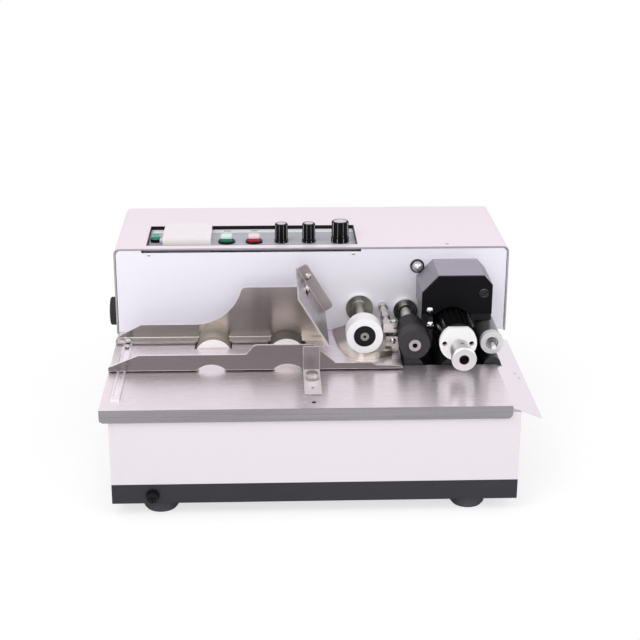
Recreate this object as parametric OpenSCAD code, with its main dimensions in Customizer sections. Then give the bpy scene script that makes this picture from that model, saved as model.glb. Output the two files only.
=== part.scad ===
// Desk-top batch coding machine: labels or cartons are stacked between two guides on the table,
// fed to the right by two wheels, held back one by one under a separator wheel, and carried by
// rollers under a print drum with a heated ink roll. Millimetres, +Z up, +X along the paper's way.
// The origin is at the middle of the bounding box, on the floor.

/* [Cabinet] */
// Width of the cabinet across its two sides
cabinet_w = 384; // [374:1:404]
// Depth of the cabinet from the front panel to the rear panel
cabinet_d = 143; // [138:1:170]
// Height of the cabinet's top above the floor
cabinet_top_z = 189; // [186:1:202]
// Radius of the cover's upper corners
cover_corner_r = 6; // [3:0.5:10]
// Thickness of the steel sheet in the base, table and cover
sheet_t = 1.5; // [1:0.1:2]
// Gap of the seam between the cover and the panels inside it
seam_gap = 0.6; // [0.4:0.1:1]
// Thickness of the inner frame plate that carries the shafts
frame_t = 8; // [6:1:10]
// Height of the open slot above the front panel, below the control panel
panel_slot_h = 3.2; // [2:0.2:5]

/* [Base and table] */
// Height of the table's top above the floor
table_z = 103; // [99:1:107]
// Depth of the table from its front edge to the cabinet
table_d = 189; // [186:1:200]
// Height of the table's front and left lips
table_lip = 12; // [8:1:16]
// Distance of the table's left edge in from the cabinet's left side
table_left_in = 2; // [0:0.2:5]
// Distance of the table's right edge in from the cabinet's right side
table_right_in = 23.6; // [20:0.2:28]
// Distance of the base in from the cabinet's left side
base_left_in = 9.5; // [7:0.5:16]
// Distance of the base in from the cabinet's right side
base_right_in = 15.5; // [10:0.5:17]
// Distance of the base behind the table's front edge
base_front_in = 3; // [2:0.5:6]
// Height of the dark plinth
plinth_h = 18.5; // [14:0.5:24]
// Height of the rubber feet
foot_h = 12; // [8:0.5:16]
// Largest diameter of a rubber foot
foot_d = 31; // [24:1:36]
// Distance of the feet in from the plinth's sides
foot_in = 42; // [30:1:60]
// Run of the exit chute to the right
chute_run = 26; // [20:1:34]
// Drop of the exit chute over its run
chute_drop = 12.2; // [6:0.2:14]

/* [Control panel] */
// Width of the window in the cover
window_w = 205.5; // [200:0.5:215]
// Depth of the window in the cover
window_d = 66; // [62:1:70]
// Distance of the window in from the cabinet's left side
window_left_in = 31; // [28:1:36]
// Distance of the window behind the front panel
window_front_in = 10; // [8:0.5:12]
// Depth of the control panel below the cover's top
recess = 3.6; // [2.6:0.2:5]
// Diameter of the two small knobs
small_knob_d = 12.8; // [11:0.2:15]
// Diameter of the large knob
large_knob_d = 16.8; // [14:0.2:20]
// Height of the knobs above the control panel
knob_h = 19; // [14:0.5:22]
// Height of the large knob above the control panel
large_knob_h = 21; // [18:0.5:24]
// Diameter of the round bezels of the push buttons
button_d = 16.8; // [15.8:0.2:20]
// Width of the square caps of the push buttons
cap_w = 11; // [9:0.2:11.2]
// Travel of the push buttons
button_travel = 2; // [1:0.5:3]
// Height of the clear counter cover above the cabinet's top
counter_rise = 5; // [3:0.5:9]
// Width of the counter
counter_w = 47; // [40:1:54]

/* [Paper path] */
// Height of the paper path above the table
path_rise = 7.2; // [6:0.2:9]
// Gap between the upper and the lower roller of a pair
nip_gap = 0.3; // [0.2:0.1:0.6]
// Radius of the feed wheels
feed_r = 18.2; // [16:0.2:20]
// Height of the feed wheels' tops above the paper path
feed_rise = 1.8; // [1:0.2:3]
// Distance of the right feed wheel's axis left of the stack stop's top edge
feed_in = 11.3; // [6:0.1:16]
// Distance between the two feed wheels
feed_pitch = 70; // [60:1:75]
// Distance of the feed wheels' front faces from the cabinet
feed_reach = 45; // [40:1:54]
// Width of the feed wheels
feed_wheel_w = 34; // [28:1:36]

/* [Rollers] */
// Distance of the output roller's axis in from the table's right edge
output_in = 3.4; // [2:0.2:6]
// Radius of the output roller
output_r = 10.8; // [10:0.2:12]
// Distance between the output roller and the print drum
print_pitch = 34; // [32:0.2:40]
// Radius of the print drum
print_r = 17.2; // [15:0.2:18]
// Distance between the print drum and the transport roller
transport_pitch = 39.5; // [38:0.5:44]
// Radius of the transport roller
transport_r = 14.2; // [12:0.2:15]
// Distance between the transport roller and the separator wheel
separator_pitch = 45.2; // [43:0.2:50]
// Radius of the separator wheel
separator_r = 17; // [14:0.5:18]
// Width of the separator wheel
separator_w = 18; // [14:1:24]
// Distance of the separator wheel's face from the cabinet
separator_reach = 80; // [70:1:84]
// Distance of the transport roller's face from the cabinet
transport_reach = 95.5; // [88:0.5:98]
// Distance of the print drum's end cap from the cabinet
print_reach = 101; // [94:1:104]
// Length of the silver knob on the print drum
print_knob_l = 41; // [30:1:46]
// Distance of the output roller's face from the cabinet
output_reach = 84.5; // [78:0.5:88]
// Number of type slots round the print drum
type_slots = 20; // [12:2:24]

/* [Guides] */
// Distance of the rear guide's wall in front of the cabinet
rear_guide_in = 22.5; // [18:0.5:26]
// Distance of the front guide's wall in front of the cabinet
front_guide_in = 104; // [102:1:108]
// Thickness of the guides' sheet
guide_t = 1.5; // [1:0.1:2]
// Width of the guides' bottom flanges
flange_w = 12; // [10:1:15]
// Height of the rear guide's wall behind the stack, above the table
rear_wall_h = 53.7; // [46:0.1:60]
// Height of the rear guide's low stretch above the table
low_wall_h = 16.2; // [12:0.2:20]
// Height of the front guide's low stretch above the table
front_low_h = 16.8; // [13:0.2:20]
// Radius of the sweep between the low and the high stretch
sweep_r = 46.7; // [36:0.5:52]
// Height of the front guide beside the stack, above the table
front_wall_h = 26; // [21:0.5:32]
// Slope of the stack stop from the level, in degrees
stop_slope = 58.7; // [52:0.5:64]
// Length of the stack stop down its slope
stop_l = 49; // [44:0.5:54]
// Height of the stack stop's lower edge above the paper path
stop_gap = 19.9; // [14:0.1:26]
// Distance of the stack stop's lower edge in front of the separator wheel's axis
stop_in = 35.5; // [30:0.1:40]
// Distance of the thumb screw's slot from the table's front edge
slot_front = 32; // [26:1:36]

/* [Ink head] */
// Width of the ink housing
ink_w = 66.5; // [62:0.5:70]
// Height of the ink housing
ink_h = 45; // [43:0.5:48]
// Depth of the ink housing in front of the cabinet
ink_d = 53.5; // [48:0.5:60]
// Height of the ink housing's foot above the paper path
ink_rise = 21; // [19:0.5:22.5]
// Wall thickness of the ink housing
ink_wall = 3; // [2:0.2:3.6]
// Radius of the ink roll
ink_roll_r = 13.5; // [11:0.5:14]

/* [Fits] */
// Radial clearance of a shaft in its bore
run_fit = 0.05; // [0.02:0.01:0.1]
// Clearance between pieces that pass each other
pass_gap = 1.2; // [0.8:0.1:1.6]
// Clearance between flat pieces that slide on each other
slide_gap = 0.15; // [0.1:0.05:0.3]
// Radial clearance of a wheel pressed on its shaft
press_fit = 0.02; // [0.01:0.01:0.04]

/* [Hidden] */
$fn = 64;

// Main planes: X from the cabinet's middle, Y from the table's front edge, Z from the floor
left_x = -cabinet_w / 2;
right_x = cabinet_w / 2;
table_left = left_x + table_left_in;
table_right = right_x - table_right_in;
base_left = left_x + base_left_in;
base_right = right_x - base_right_in;
panel_y = table_d;
rear_y = table_d + cabinet_d;
panel_set = 0.8;
panel_face = panel_y + panel_set;
rear_face = rear_y - panel_set;
frame_y = panel_y + 7;
frame_rear = frame_y + frame_t;
plinth_top = foot_h + plinth_h;
table_under = table_z - sheet_t;
path_z = table_z + path_rise;
cover_under = cabinet_top_z - sheet_t;
chute_right = table_right + chute_run;
return_w = 14;

// Fuse holder, side knob and power inlet reach furthest out
fuse_out = 6;
fuse_r = 6.2;
fuse_x = base_left + 36;
fuse_z = foot_h + plinth_h / 2 - 1.4;
inlet_out = 2;
side_knob_l = 7.2;
side_knob_r = 14;
side_shaft_r = 3;
mid_x = (left_x - side_knob_l + chute_right) / 2;
mid_y = (base_front_in - fuse_out + rear_y + inlet_out) / 2;

// Axes of wheels and rollers
feed_z = path_z + feed_rise - feed_r;
output_x = table_right - output_in;
print_x = output_x - print_pitch;
transport_x = print_x - transport_pitch;
separator_x = transport_x - separator_pitch;
stop_x = separator_x - stop_in - stop_l * cos(stop_slope);
feed_right_x = stop_x - feed_in;
feed_left_x = feed_right_x - feed_pitch;
feed_face_y = panel_y - feed_reach;
feed_back_y = feed_face_y + feed_wheel_w;
output_z = path_z + output_r;
print_z = path_z + print_r;
transport_z = path_z + transport_r;
separator_z = path_z + separator_r;
transport_counter_r = 9;
output_counter_r = 8;
transport_counter_z = path_z - nip_gap - transport_counter_r;
output_counter_z = path_z - nip_gap - output_counter_r;
impression_z = path_z - nip_gap - print_r;
separator_face = panel_y - separator_reach;
transport_face = panel_y - transport_reach;
print_face = panel_y - print_reach;
output_face = panel_y - output_reach;
roller_back = panel_y - 6;

// Shafts, gears and pulleys behind the frame
feed_shaft_r = 5;
upper_shaft_r = 4;
counter_shaft_r = 3;
bush_r = 7;
bush_clear = 0.1;
collar_step = 4;
collar_gap = 0.4;
collar_end = frame_rear + 5;
upper_shaft_end = frame_rear + 6;
bearing_t = 4.5;
gear_y = frame_rear + 2;
gear_t = 4;
belt_y = [gear_y + gear_t + 2, gear_y + gear_t + 10];
belt_w = 6;
belt_t = 1.4;
belt_gap = 0.3;
pulley_share = 0.6;
shaft_end = belt_y[1] + belt_w + 2;
motor_y = shaft_end + 4;

// Bearings in the front panel and the inner frame
upper_axes = [
  [separator_x, separator_z], [transport_x, transport_z], [print_x, print_z], [output_x, output_z]
];
lower_axes = [
  [feed_left_x, feed_z, feed_shaft_r], [feed_right_x, feed_z, feed_shaft_r],
  [transport_x, transport_counter_z, counter_shaft_r], [print_x, impression_z, feed_shaft_r],
  [output_x, output_counter_z, counter_shaft_r]
];

// Belt pulleys are sized by their wheels, so that all surfaces run at one speed
feed_pulley = feed_r * pulley_share;
counter_pulley = transport_counter_r * pulley_share;
impression_pulley = print_r * pulley_share;
output_pulley = output_counter_r * pulley_share;

// Wheels and rollers
wheel_wall = 6;
separator_hub_r = 10.2;
transport_front_l = 17.5;
transport_l = 47;
transport_core_r = 5.6;
cap_t = 5;
print_gear_teeth = 32;
print_gear_r = (print_z - impression_z) / 2;
output_ring_l = 7;
output_core_r = ink_rise - output_r - 0.5;
output_bore = 6;
output_pin_l = 12;
output_pin_r = 2.2;

// Windows of the table
window_front_y = print_face + 8;
cluster_left = transport_x - transport_counter_r - pass_gap;
adjuster_leg_x = cluster_left - 7.5;
notch_w = output_x + output_counter_r + pass_gap - table_right;

// Guides
guide_z = table_z + guide_t;
bend_r = guide_t;
bend_in = 8;
rear_wall_y = panel_y - rear_guide_in;
front_guide_y = panel_y - front_guide_in;
rail_x = table_left + 8;
rail_w = 8;
rail_slot = 4.2;
tall_left = feed_left_x + 26;
arch_r = feed_r + pass_gap;
front_arch_h = 5.4;
stop_z = path_z + stop_gap + stop_l * sin(stop_slope);
stop_front = front_guide_y - 8;
stop_over = 3.8;
stop_rear = rear_wall_y - guide_t;
stop_flange = 11.7;
stop_slot_y = stop_rear - 19;
stop_slot_s = 13;
stop_slot_l = 26;
stop_screw_head = [4, 3.4];
stop_tab_front = stop_slot_y - 10;
bracket_x = stop_x + 10.5;
bracket_w = 15.5;
bracket_front = front_guide_y - 57.4;
thumb_y = front_guide_y - 23;
mark_hole_y = slot_front - 19;
mark_hole_r = 2;
thumb_r = 2.4;
clamp_r = 1.85;
clamp_head = [3.4, 2.2];
clamp_x = rail_x + rail_w / 2;
rail_screw_y = rear_wall_y - flange_w - 6.5;
rear_foot_end = stop_x + 26;
front_guide_end = separator_x + 33.5;

// Side knob and power inlet
side_knob_y = panel_y + 22;
side_knob_z = table_z + 15;
inlet_x = left_x + 52;
inlet_z = table_z + 20;
inlet_half = [13.4, 9.6];

// Control panel
window_x = left_x + window_left_in;
window_y = panel_y + window_front_in;
plate_z = cabinet_top_z - recess;
plate_t = 1.5;
liner_t = 1;
plate_over = 3;
row_y = window_y + 21.5;
switch_y = window_y + 26;
switch_x = window_x + 8;
counter_x = window_x + 15.5;
button_left = counter_x + counter_w;
button_space = window_x + window_w - button_left;
green_x = button_left + button_space * 0.105;
red_x = button_left + button_space * 0.294;
knob_x = [for (share = [0.4825, 0.6715, 0.888]) button_left + button_space * share];
knob_shaft_r = 3;
small_skirt_h = 3.4;
large_skirt_h = 5.6;
switch_r = 5.6;
switch_half = [3, 4];
switch_h = 3;
small_screw_r = 0.9;
slot_screw_x = [window_x + 3, window_x + window_w - 4.5];
slot_screw_z = cover_under - panel_slot_h - 2;
top_screw_x = right_x - 60;
top_screw_y = panel_y + 8;
cap_clear = 0.3;
counter_top = cabinet_top_z + counter_rise;
counter_y = window_y + 7;
counter_d = window_d - 12;
reset_y = counter_y + 9;
reset_z = plate_z + 4;
reset_r = 1.5;
bezel_h = 2.2;
knob_shaft_l = knob_h - 4;
rocker_z = plate_z + switch_h - 0.6;
rocker_tilt = 10;

// Ink head
ink_x = print_x - 29;
ink_right = ink_x + ink_w;
ink_z = path_z + ink_rise;
ink_top = ink_z + ink_h;
ink_front = panel_y - ink_d;
cover_t = 3;
ink_chamfer = [15.5, 16.5];
ink_right_chamfer = [8, 9];
ink_side_z = ink_z + 7.5;
foot_block_w = 19.5;
pivot_x = ink_right - 8;
pivot_z = ink_z + 28;
pivot_r = 2.5;
lock_x = ink_x + 7.5;
lock_z = ink_z + 11.5;
lock_r = 1.5;
ink_roll_x = print_x - 3;
ink_reach = print_r + ink_roll_r + nip_gap;
ink_roll_z = print_z + sqrt(ink_reach * ink_reach - 9);
spindle_r = 6;
head_plate_w = 4.4;
head_plate_x = print_x - print_r - pass_gap - head_plate_w - 0.6;
head_plate_y = ink_front - 6;
head_screw_z = ink_side_z - 8.5;
head_screw_r = 1.2;

// Moves the machine so that the origin is under the middle of its bounding box
module place() { translate([-mid_x, -mid_y, 0]) children(); }

// Box between two opposite corners
module block(low, high) { translate(low) cube(high - low); }

// Rod along the depth at x and z, between two depths
module rod(x, z, y0, y1, r) { translate([x, y0, z]) rotate([-90, 0, 0]) cylinder(h = y1 - y0, r = r); }

// Plate from an outline in X and Z, between two depths
module slab(y0, y1) { translate([0, y1, 0]) rotate([90, 0, 0]) linear_extrude(y1 - y0) children(); }

// Rectangle with two round upper corners, standing on z0
module round_top(x0, x1, z0, z1, r) {
  translate([x0, z0]) square([x1 - x0, z1 - z0 - r]);
  translate([x0 + r, z0]) square([x1 - x0 - 2 * r, z1 - z0]);
  for (x = [x0 + r, x1 - r]) translate([x, z1 - r]) circle(r);
}

// Square with round corners, centred
module round_square(w, r) {
  square([w, w - 2 * r], center = true);
  square([w - 2 * r, w], center = true);
  for (sx = [-1, 1], sy = [-1, 1]) translate([sx * (w / 2 - r), sy * (w / 2 - r)]) circle(r);
}

// Screw with a round head, standing on the origin, its shank below
module screw(head_r, head_h, shank_r, shank_l) {
  slot_w = head_r * 0.3;
  difference() {
    union() {
      intersection() {
        cylinder(h = head_h, r = head_r);
        translate([0, 0, head_h - head_r * 1.35]) sphere(head_r * 1.35);
      }
      translate([0, 0, -shank_l]) cylinder(h = shank_l + head_h / 2, r = shank_r);
    }
    translate([-head_r, -slot_w / 2, head_h * 0.6]) cube([2 * head_r, slot_w, head_h]);
  }
}

// Arches round both feed wheels, cut from the guides at one height
module feed_arches(y0, y1, z) {
  for (x = [feed_left_x, feed_right_x]) rod(x, z, y0, y1, arch_r);
}

// Gear outline with straight flanks
module gear_outline(teeth, pitch_r) {
  m = 2 * pitch_r / teeth;
  step = 360 / teeth;
  root = pitch_r - 1.25 * m;
  tip = pitch_r + 0.8 * m;
  polygon([for (i = [0 : teeth - 1], k = [[root, -0.34], [tip, -0.12], [tip, 0.12], [root, 0.34]])
    k[0] * [cos((i + k[1]) * step), sin((i + k[1]) * step)]]);
}

// Outline round two pulleys, in X and Z
module belt_outline(a, b, ra, rb) {
  d = norm(b - a);
  turn = atan2(b[1] - a[1], b[0] - a[0]);
  lean = acos((ra - rb) / d);
  steps = 20;
  polygon([
    for (i = [0 : steps]) a + ra * [cos(turn + lean + i * (360 - 2 * lean) / steps),
      sin(turn + lean + i * (360 - 2 * lean) / steps)],
    for (i = [0 : steps]) b + rb * [cos(turn - lean + i * 2 * lean / steps),
      sin(turn - lean + i * 2 * lean / steps)]
  ]);
}

// Belt in one plane round two pulleys
module belt(plane, a, b, ra, rb) {
  slab(belt_y[plane], belt_y[plane] + belt_w) difference() {
    belt_outline(a, b, ra + belt_gap + belt_t, rb + belt_gap + belt_t);
    belt_outline(a, b, ra + belt_gap, rb + belt_gap);
  }
}

// Pulley for both belt planes
module pulley(x, z, r) {
  rod(x, z, belt_y[0] - 1, belt_y[1] + belt_w + 1, r);
}

module rubber_feet() color("dimgray") place() {
  r = foot_d / 2;
  front = base_front_in + 20;
  rear = rear_y - 24;
  edge = 2.5;
  dish = 1;
  for (x = [base_left + foot_in, base_right - foot_in], y = [front, rear])
    translate([x, y, 0]) rotate_extrude() polygon([
      [0, dish], [r * 0.55, dish], [r * 0.6, 0], [r * 0.88, 0], [r, edge],
      [r * 0.94, foot_h - edge], [r * 0.82, foot_h], [0, foot_h]
    ]);
}

module base_plinth() color([0.22, 0.21, 0.23]) place() {
  difference() {
    block([base_left, base_front_in, foot_h], [base_right, rear_face, plinth_top]);
    block([base_left + sheet_t, base_front_in + sheet_t, foot_h + sheet_t],
      [base_right - sheet_t, rear_face - sheet_t, plinth_top + 1]);
    rod(fuse_x, fuse_z, base_front_in - 1, base_front_in + sheet_t + 1, fuse_r * 0.75);
  }
}

module base_shell() color([0.93, 0.92, 0.93]) place() {
  low_side = table_z - 7;
  chute_clear = 0.5;
  difference() {
    block([base_left, base_front_in, plinth_top], [base_right, rear_face, table_under]);
    block([base_left + sheet_t, base_front_in + sheet_t, plinth_top - 1],
      [base_right - sheet_t, rear_face - sheet_t, table_under + 1]);
    block([table_right - chute_clear, base_front_in - 1, low_side],
      [base_right + 1, panel_y, table_under + 1]);
  }
}

module table_plate() color([0.80, 0.77, 0.79]) place() {
  tongue_l = 3;
  tongue_left = base_left + 6;
  slot_r = thumb_r + 0.3;
  below = table_under - 1;
  above = table_z + 1;
  difference() {
    union() {
      block([table_left, 0, table_under], [table_right, panel_y, table_z]);
      block([tongue_left, panel_y - 1, table_under], [table_right, panel_y + tongue_l, table_z]);
      block([table_left, 0, table_z - table_lip], [table_right, sheet_t, table_z]);
      block([table_left, 0, table_z - table_lip], [table_left + sheet_t, panel_y, table_z]);
    }
    for (x = [feed_left_x, feed_right_x]) {
      half = sqrt(feed_r * feed_r - pow(table_under - feed_z, 2)) + pass_gap;
      block([x - half, feed_face_y - pass_gap, below], [x + half, feed_back_y + pass_gap, above]);
    }
    block([cluster_left, window_front_y, below], [table_right + 1, panel_y + tongue_l + 1, above]);
    for (y = [slot_front, thumb_y])
      translate([bracket_x, y, below]) cylinder(h = above - below, r = slot_r);
    block([bracket_x - slot_r, slot_front, below], [bracket_x + slot_r, thumb_y, above]);
    translate([bracket_x, mark_hole_y, below]) cylinder(h = above - below, r = mark_hole_r);
    translate([table_left, -1, table_z - table_lip]) rotate([-90, 0, 0]) corner_cut();
    translate([table_right, -1, table_z - table_lip]) mirror([1, 0, 0]) rotate([-90, 0, 0]) corner_cut();
  }
}

// Rounds a lower corner of the table's front lip
module corner_cut() {
  r = 4;
  difference() {
    translate([-1, -r, 0]) cube([r + 1, r + 1, sheet_t + 2]);
    translate([r, -r, -1]) cylinder(h = sheet_t + 4, r = r);
  }
}

module guide_rail() color([0.90, 0.87, 0.89]) place() {
  front = 20;
  back = panel_y - 2;
  slot_left = clamp_x - rail_slot / 2;
  slot_y = [front + 8, back - 2];
  difference() {
    block([rail_x, front, table_z], [rail_x + rail_w, back, guide_z]);
    block([slot_left, slot_y[0], table_z - 1], [slot_left + rail_slot, slot_y[1], guide_z + 1]);
  }
}

module exit_chute() color([0.88, 0.86, 0.88]) place() {
  front = 2.5;
  back = panel_y - 1;
  low = table_z - chute_drop;
  fall = chute_drop / chute_run;
  flange_in = 16;
  flange_y = [front + 2, window_front_y - 3];
  holes = [[17, panel_y - 97], [20, panel_y - 105]];
  hole_r = 1.4;
  difference() {
    union() {
      slab(front, back) polygon([
        [table_right, table_z], [chute_right, low], [chute_right, low - sheet_t],
        [table_right, table_z - 2 * sheet_t]
      ]);
      block([table_right - flange_in, flange_y[0], table_under - sheet_t],
        [table_right + 0.5, flange_y[1], table_under]);
    }
    block([table_right - 1, window_front_y + 1, low - table_lip],
      [table_right + notch_w, panel_y, table_z + 1]);
    for (spot = holes) translate([table_right + spot[0], spot[1], table_z - fall * spot[0] - 5])
      cylinder(h = 10, r = hole_r);
  }
}

module cabinet_cover() color([0.95, 0.93, 0.94]) place() {
  return_in = 4;
  difference() {
    union() {
      slab(panel_y, rear_y) difference() {
        round_top(left_x, right_x, table_under, cabinet_top_z, cover_corner_r);
        round_top(left_x + sheet_t, right_x - sheet_t, table_under - 1, cover_under,
          cover_corner_r - sheet_t);
      }
      for (x = [left_x, right_x - return_w])
        block([x, panel_y + return_in, table_under], [x + return_w, rear_y - return_in, table_z]);
    }
    block([window_x, window_y, cover_under - 1],
      [window_x + window_w, window_y + window_d, cabinet_top_z + 1]);
    translate([left_x - 1, side_knob_y, side_knob_z]) rotate([0, 90, 0])
      cylinder(h = sheet_t + 2, r = side_shaft_r + run_fit);
    translate([top_screw_x, top_screw_y, cover_under - 1])
      cylinder(h = sheet_t + 2, r = small_screw_r + run_fit);
  }
}

module front_panel() color([0.91, 0.91, 0.95]) place() {
  slot_over = [4, 3];
  shaft_clear = 0.6;
  front = panel_face - 1;
  back = panel_face + sheet_t + 1;
  difference() {
    slab(panel_face, panel_face + sheet_t) round_top(left_x + sheet_t + seam_gap,
      right_x - sheet_t - seam_gap, table_z, cover_under - seam_gap, cover_corner_r - sheet_t);
    block([window_x - slot_over[0], front, cover_under - panel_slot_h],
      [window_x + window_w + slot_over[1], back, cover_under + 1]);
    for (axis = upper_axes) rod(axis[0], axis[1], front, back, bush_r + bush_clear);
    for (axis = lower_axes) rod(axis[0], axis[1], front, back, axis[2] + shaft_clear);
    for (x = slot_screw_x) rod(x, slot_screw_z, front, back, small_screw_r + run_fit);
  }
}

module rear_panel() color([0.90, 0.90, 0.92]) place() {
  front = rear_face - sheet_t;
  vent = [60, sheet_t + 2, 3];
  vent_rows = 6;
  vent_step = 7;
  vent_out = 90;
  vent_z = table_z + 34;
  cut = inlet_half + [0.2, 0.2];
  difference() {
    slab(front, rear_face) round_top(left_x + sheet_t + seam_gap, right_x - sheet_t - seam_gap,
      table_under, cover_under - seam_gap, cover_corner_r - sheet_t);
    for (side = [-1, 1], row = [0 : vent_rows - 1])
      translate([side * vent_out - vent[0] / 2, front - 1, vent_z + row * vent_step]) cube(vent);
    block([inlet_x - cut[0], front - 1, inlet_z - cut[1]],
      [inlet_x + cut[0], rear_face + 1, inlet_z + cut[1]]);
  }
}

module inner_frame() color("silver") place() {
  left = left_x + return_w + 0.5;
  right = base_right - 5;
  top = cover_under - 12;
  difference() {
    block([left, frame_y, foot_h + sheet_t], [right, frame_rear, top]);
    for (axis = upper_axes) rod(axis[0], axis[1], frame_y - 1, frame_rear + 1, bush_r + bush_clear);
    for (axis = lower_axes) rod(axis[0], axis[1], frame_y - 1, frame_rear + 1, axis[2] + run_fit);
  }
}

module control_panel() color([0.72, 0.75, 0.80]) place() {
  below = plate_z - plate_t - 1;
  above = plate_z + 1;
  cut = [2, 4];
  difference() {
    block([window_x - plate_over, window_y - plate_over, plate_z - plate_t],
      [window_x + window_w + plate_over, window_y + window_d + plate_over, plate_z]);
    for (x = knob_x) translate([x, row_y, below]) cylinder(h = above - below, r = knob_shaft_r + cap_clear);
    for (x = [green_x, red_x]) translate([x, row_y, below]) linear_extrude(above - below)
      round_square(cap_w + 4 * cap_clear, 2);
    block([switch_x - switch_half[0], switch_y - switch_half[1], below],
      [switch_x + switch_half[0], switch_y + switch_half[1], above]);
    block([counter_x + cut[0], counter_y + cut[1], below],
      [counter_x + counter_w - cut[0], counter_y + counter_d - cut[1], above]);
  }
}

module panel_surround() color([0.06, 0.06, 0.07]) place() {
  fit = 0.1;
  right = window_x + window_w;
  back = window_y + window_d;
  difference() {
    union() {
      block([window_x + fit, window_y + fit, plate_z], [right - fit, back - fit, cabinet_top_z]);
      block([window_x - plate_over, window_y - plate_over, plate_z],
        [right + plate_over, back + plate_over, cover_under]);
    }
    block([window_x + liner_t, window_y + liner_t, plate_z - 1],
      [right - liner_t, back - liner_t, cabinet_top_z + 1]);
  }
}

module button_bezels() color([0.10, 0.10, 0.11]) place() {
  body_l = 16;
  r = button_d / 2;
  edge = 0.6;
  rim_h = bezel_h * 0.6;
  under = plate_z - plate_t;
  post_l = button_travel + 2;
  post_r = 0.6;
  for (x = [green_x, red_x]) translate([x, row_y, 0]) {
    difference() {
      union() {
        translate([0, 0, plate_z]) cylinder(h = rim_h, r = r);
        translate([0, 0, plate_z + rim_h]) cylinder(h = bezel_h - rim_h, r1 = r, r2 = r - edge);
      }
      translate([0, 0, plate_z - 1]) linear_extrude(bezel_h + 2) round_square(cap_w + 2 * cap_clear, 1.6);
    }
    translate([0, 0, under - body_l]) cylinder(h = body_l - button_travel - 1, r = r - edge);
    for (side = [-1, 1]) translate([side * (r - 1.6), 0, under - post_l]) cylinder(h = post_l, r = post_r);
  }
  translate([switch_x, switch_y, plate_z]) difference() {
    cylinder(h = switch_h, r = switch_r);
    block([-switch_half[0], -switch_half[1], -1], [switch_half[0], switch_half[1], switch_h + 1]);
  }
}

module counter_body() color([0.93, 0.90, 0.82]) place() {
  inset = 2.2;
  top = counter_top - 2.5;
  case_in = [3, 5];
  case_l = 22;
  digits = 6;
  digits_x = counter_x + inset + 4;
  digits_y = [counter_y + 18, counter_y + 32];
  digit_w = (counter_w - 2 * inset - 8) / digits;
  digit_depth = 1.2;
  digit_gap = 0.5;
  difference() {
    block([counter_x + inset, counter_y + inset, plate_z],
      [counter_x + counter_w - inset, counter_y + counter_d - inset, top]);
    for (i = [0 : digits - 1])
      block([digits_x + i * digit_w + digit_gap, digits_y[0], top - digit_depth],
        [digits_x + (i + 1) * digit_w - digit_gap, digits_y[1], top + 1]);
  }
  block([counter_x + case_in[0], counter_y + case_in[1], plate_z - case_l],
    [counter_x + counter_w - case_in[0], counter_y + counter_d - case_in[1], plate_z]);
}

module counter_window() color([0.95, 0.93, 0.96, 0.5]) place() {
  wall = 1.4;
  right = counter_x + counter_w;
  back = counter_y + counter_d;
  difference() {
    block([counter_x, counter_y, plate_z], [right, back, counter_top]);
    block([counter_x + wall, counter_y + wall, plate_z - 1], [right - wall, back - wall, counter_top - wall]);
    translate([counter_x - 1, reset_y, reset_z]) rotate([0, 90, 0])
      cylinder(h = wall + 2, r = reset_r + run_fit);
  }
}

module counter_reset() color([0.75, 0.78, 0.88]) place() {
  out = 3.2;
  head_t = 2.4;
  head_r = 2.4;
  stem_l = 4.6;
  translate([counter_x - out, reset_y, reset_z]) rotate([0, 90, 0]) {
    cylinder(h = head_t, r = head_r);
    cylinder(h = stem_l, r = reset_r);
  }
}

module potentiometers() color("darkgray") place() {
  body_h = 9;
  body_r = 8;
  for (x = knob_x) translate([x, row_y, plate_z - plate_t]) {
    translate([0, 0, -body_h]) cylinder(h = body_h, r = body_r);
    cylinder(h = knob_shaft_l, r = knob_shaft_r);
  }
}

// Fluted control knob with a bright cap
module control_knob(x, d, h, skirt_h) {
  flutes = 14;
  r = d / 2;
  skirt_r = r + 0.5;
  foot_gap = 0.4;
  top = h - foot_gap;
  rim = 1.8;
  edge = 0.8;
  groove = 0.7;
  dish = 0.5;
  bore_l = knob_shaft_l - plate_t + 0.6;
  translate([x, row_y, plate_z + foot_gap]) difference() {
    rotate_extrude() polygon([
      [0, 0], [skirt_r, 0], [skirt_r, skirt_h - 2 * groove], [r - groove, skirt_h - groove],
      [r - groove, skirt_h], [r, skirt_h + groove], [r, top - edge], [r - edge, top], [r - rim, top],
      [r - rim, top - dish], [0, top - dish]
    ]);
    translate([0, 0, -1]) cylinder(h = bore_l + 1, r = knob_shaft_r + run_fit);
    for (i = [0 : flutes - 1]) rotate((i + 0.5) * 360 / flutes)
      translate([r + 0.25, 0, skirt_h + 2 * groove]) cylinder(h = h, r = r * 0.14, $fn = 24);
  }
}

module speed_knob() color([0.08, 0.08, 0.09]) place()
  control_knob(knob_x[0], small_knob_d, knob_h, small_skirt_h);
module delay_knob() color([0.08, 0.08, 0.09]) place()
  control_knob(knob_x[1], small_knob_d, knob_h, small_skirt_h);
module heat_knob() color([0.08, 0.08, 0.09]) place()
  control_knob(knob_x[2], large_knob_d, large_knob_h, large_skirt_h);

// Square push-button cap with its guide below the panel
module button_cap(x) {
  rise = 5.3;
  edge = 0.6;
  edge_z = plate_z + bezel_h + rise - edge;
  stem_z = plate_z - plate_t;
  translate([x, row_y, stem_z]) linear_extrude(edge_z - stem_z) round_square(cap_w, 1.4);
  translate([x, row_y, edge_z]) linear_extrude(edge) round_square(cap_w - 1, 1.2);
}

module start_button() color([0.16, 0.55, 0.42]) place() button_cap(green_x);
module stop_button() color([0.80, 0.22, 0.32]) place() button_cap(red_x);

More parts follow.
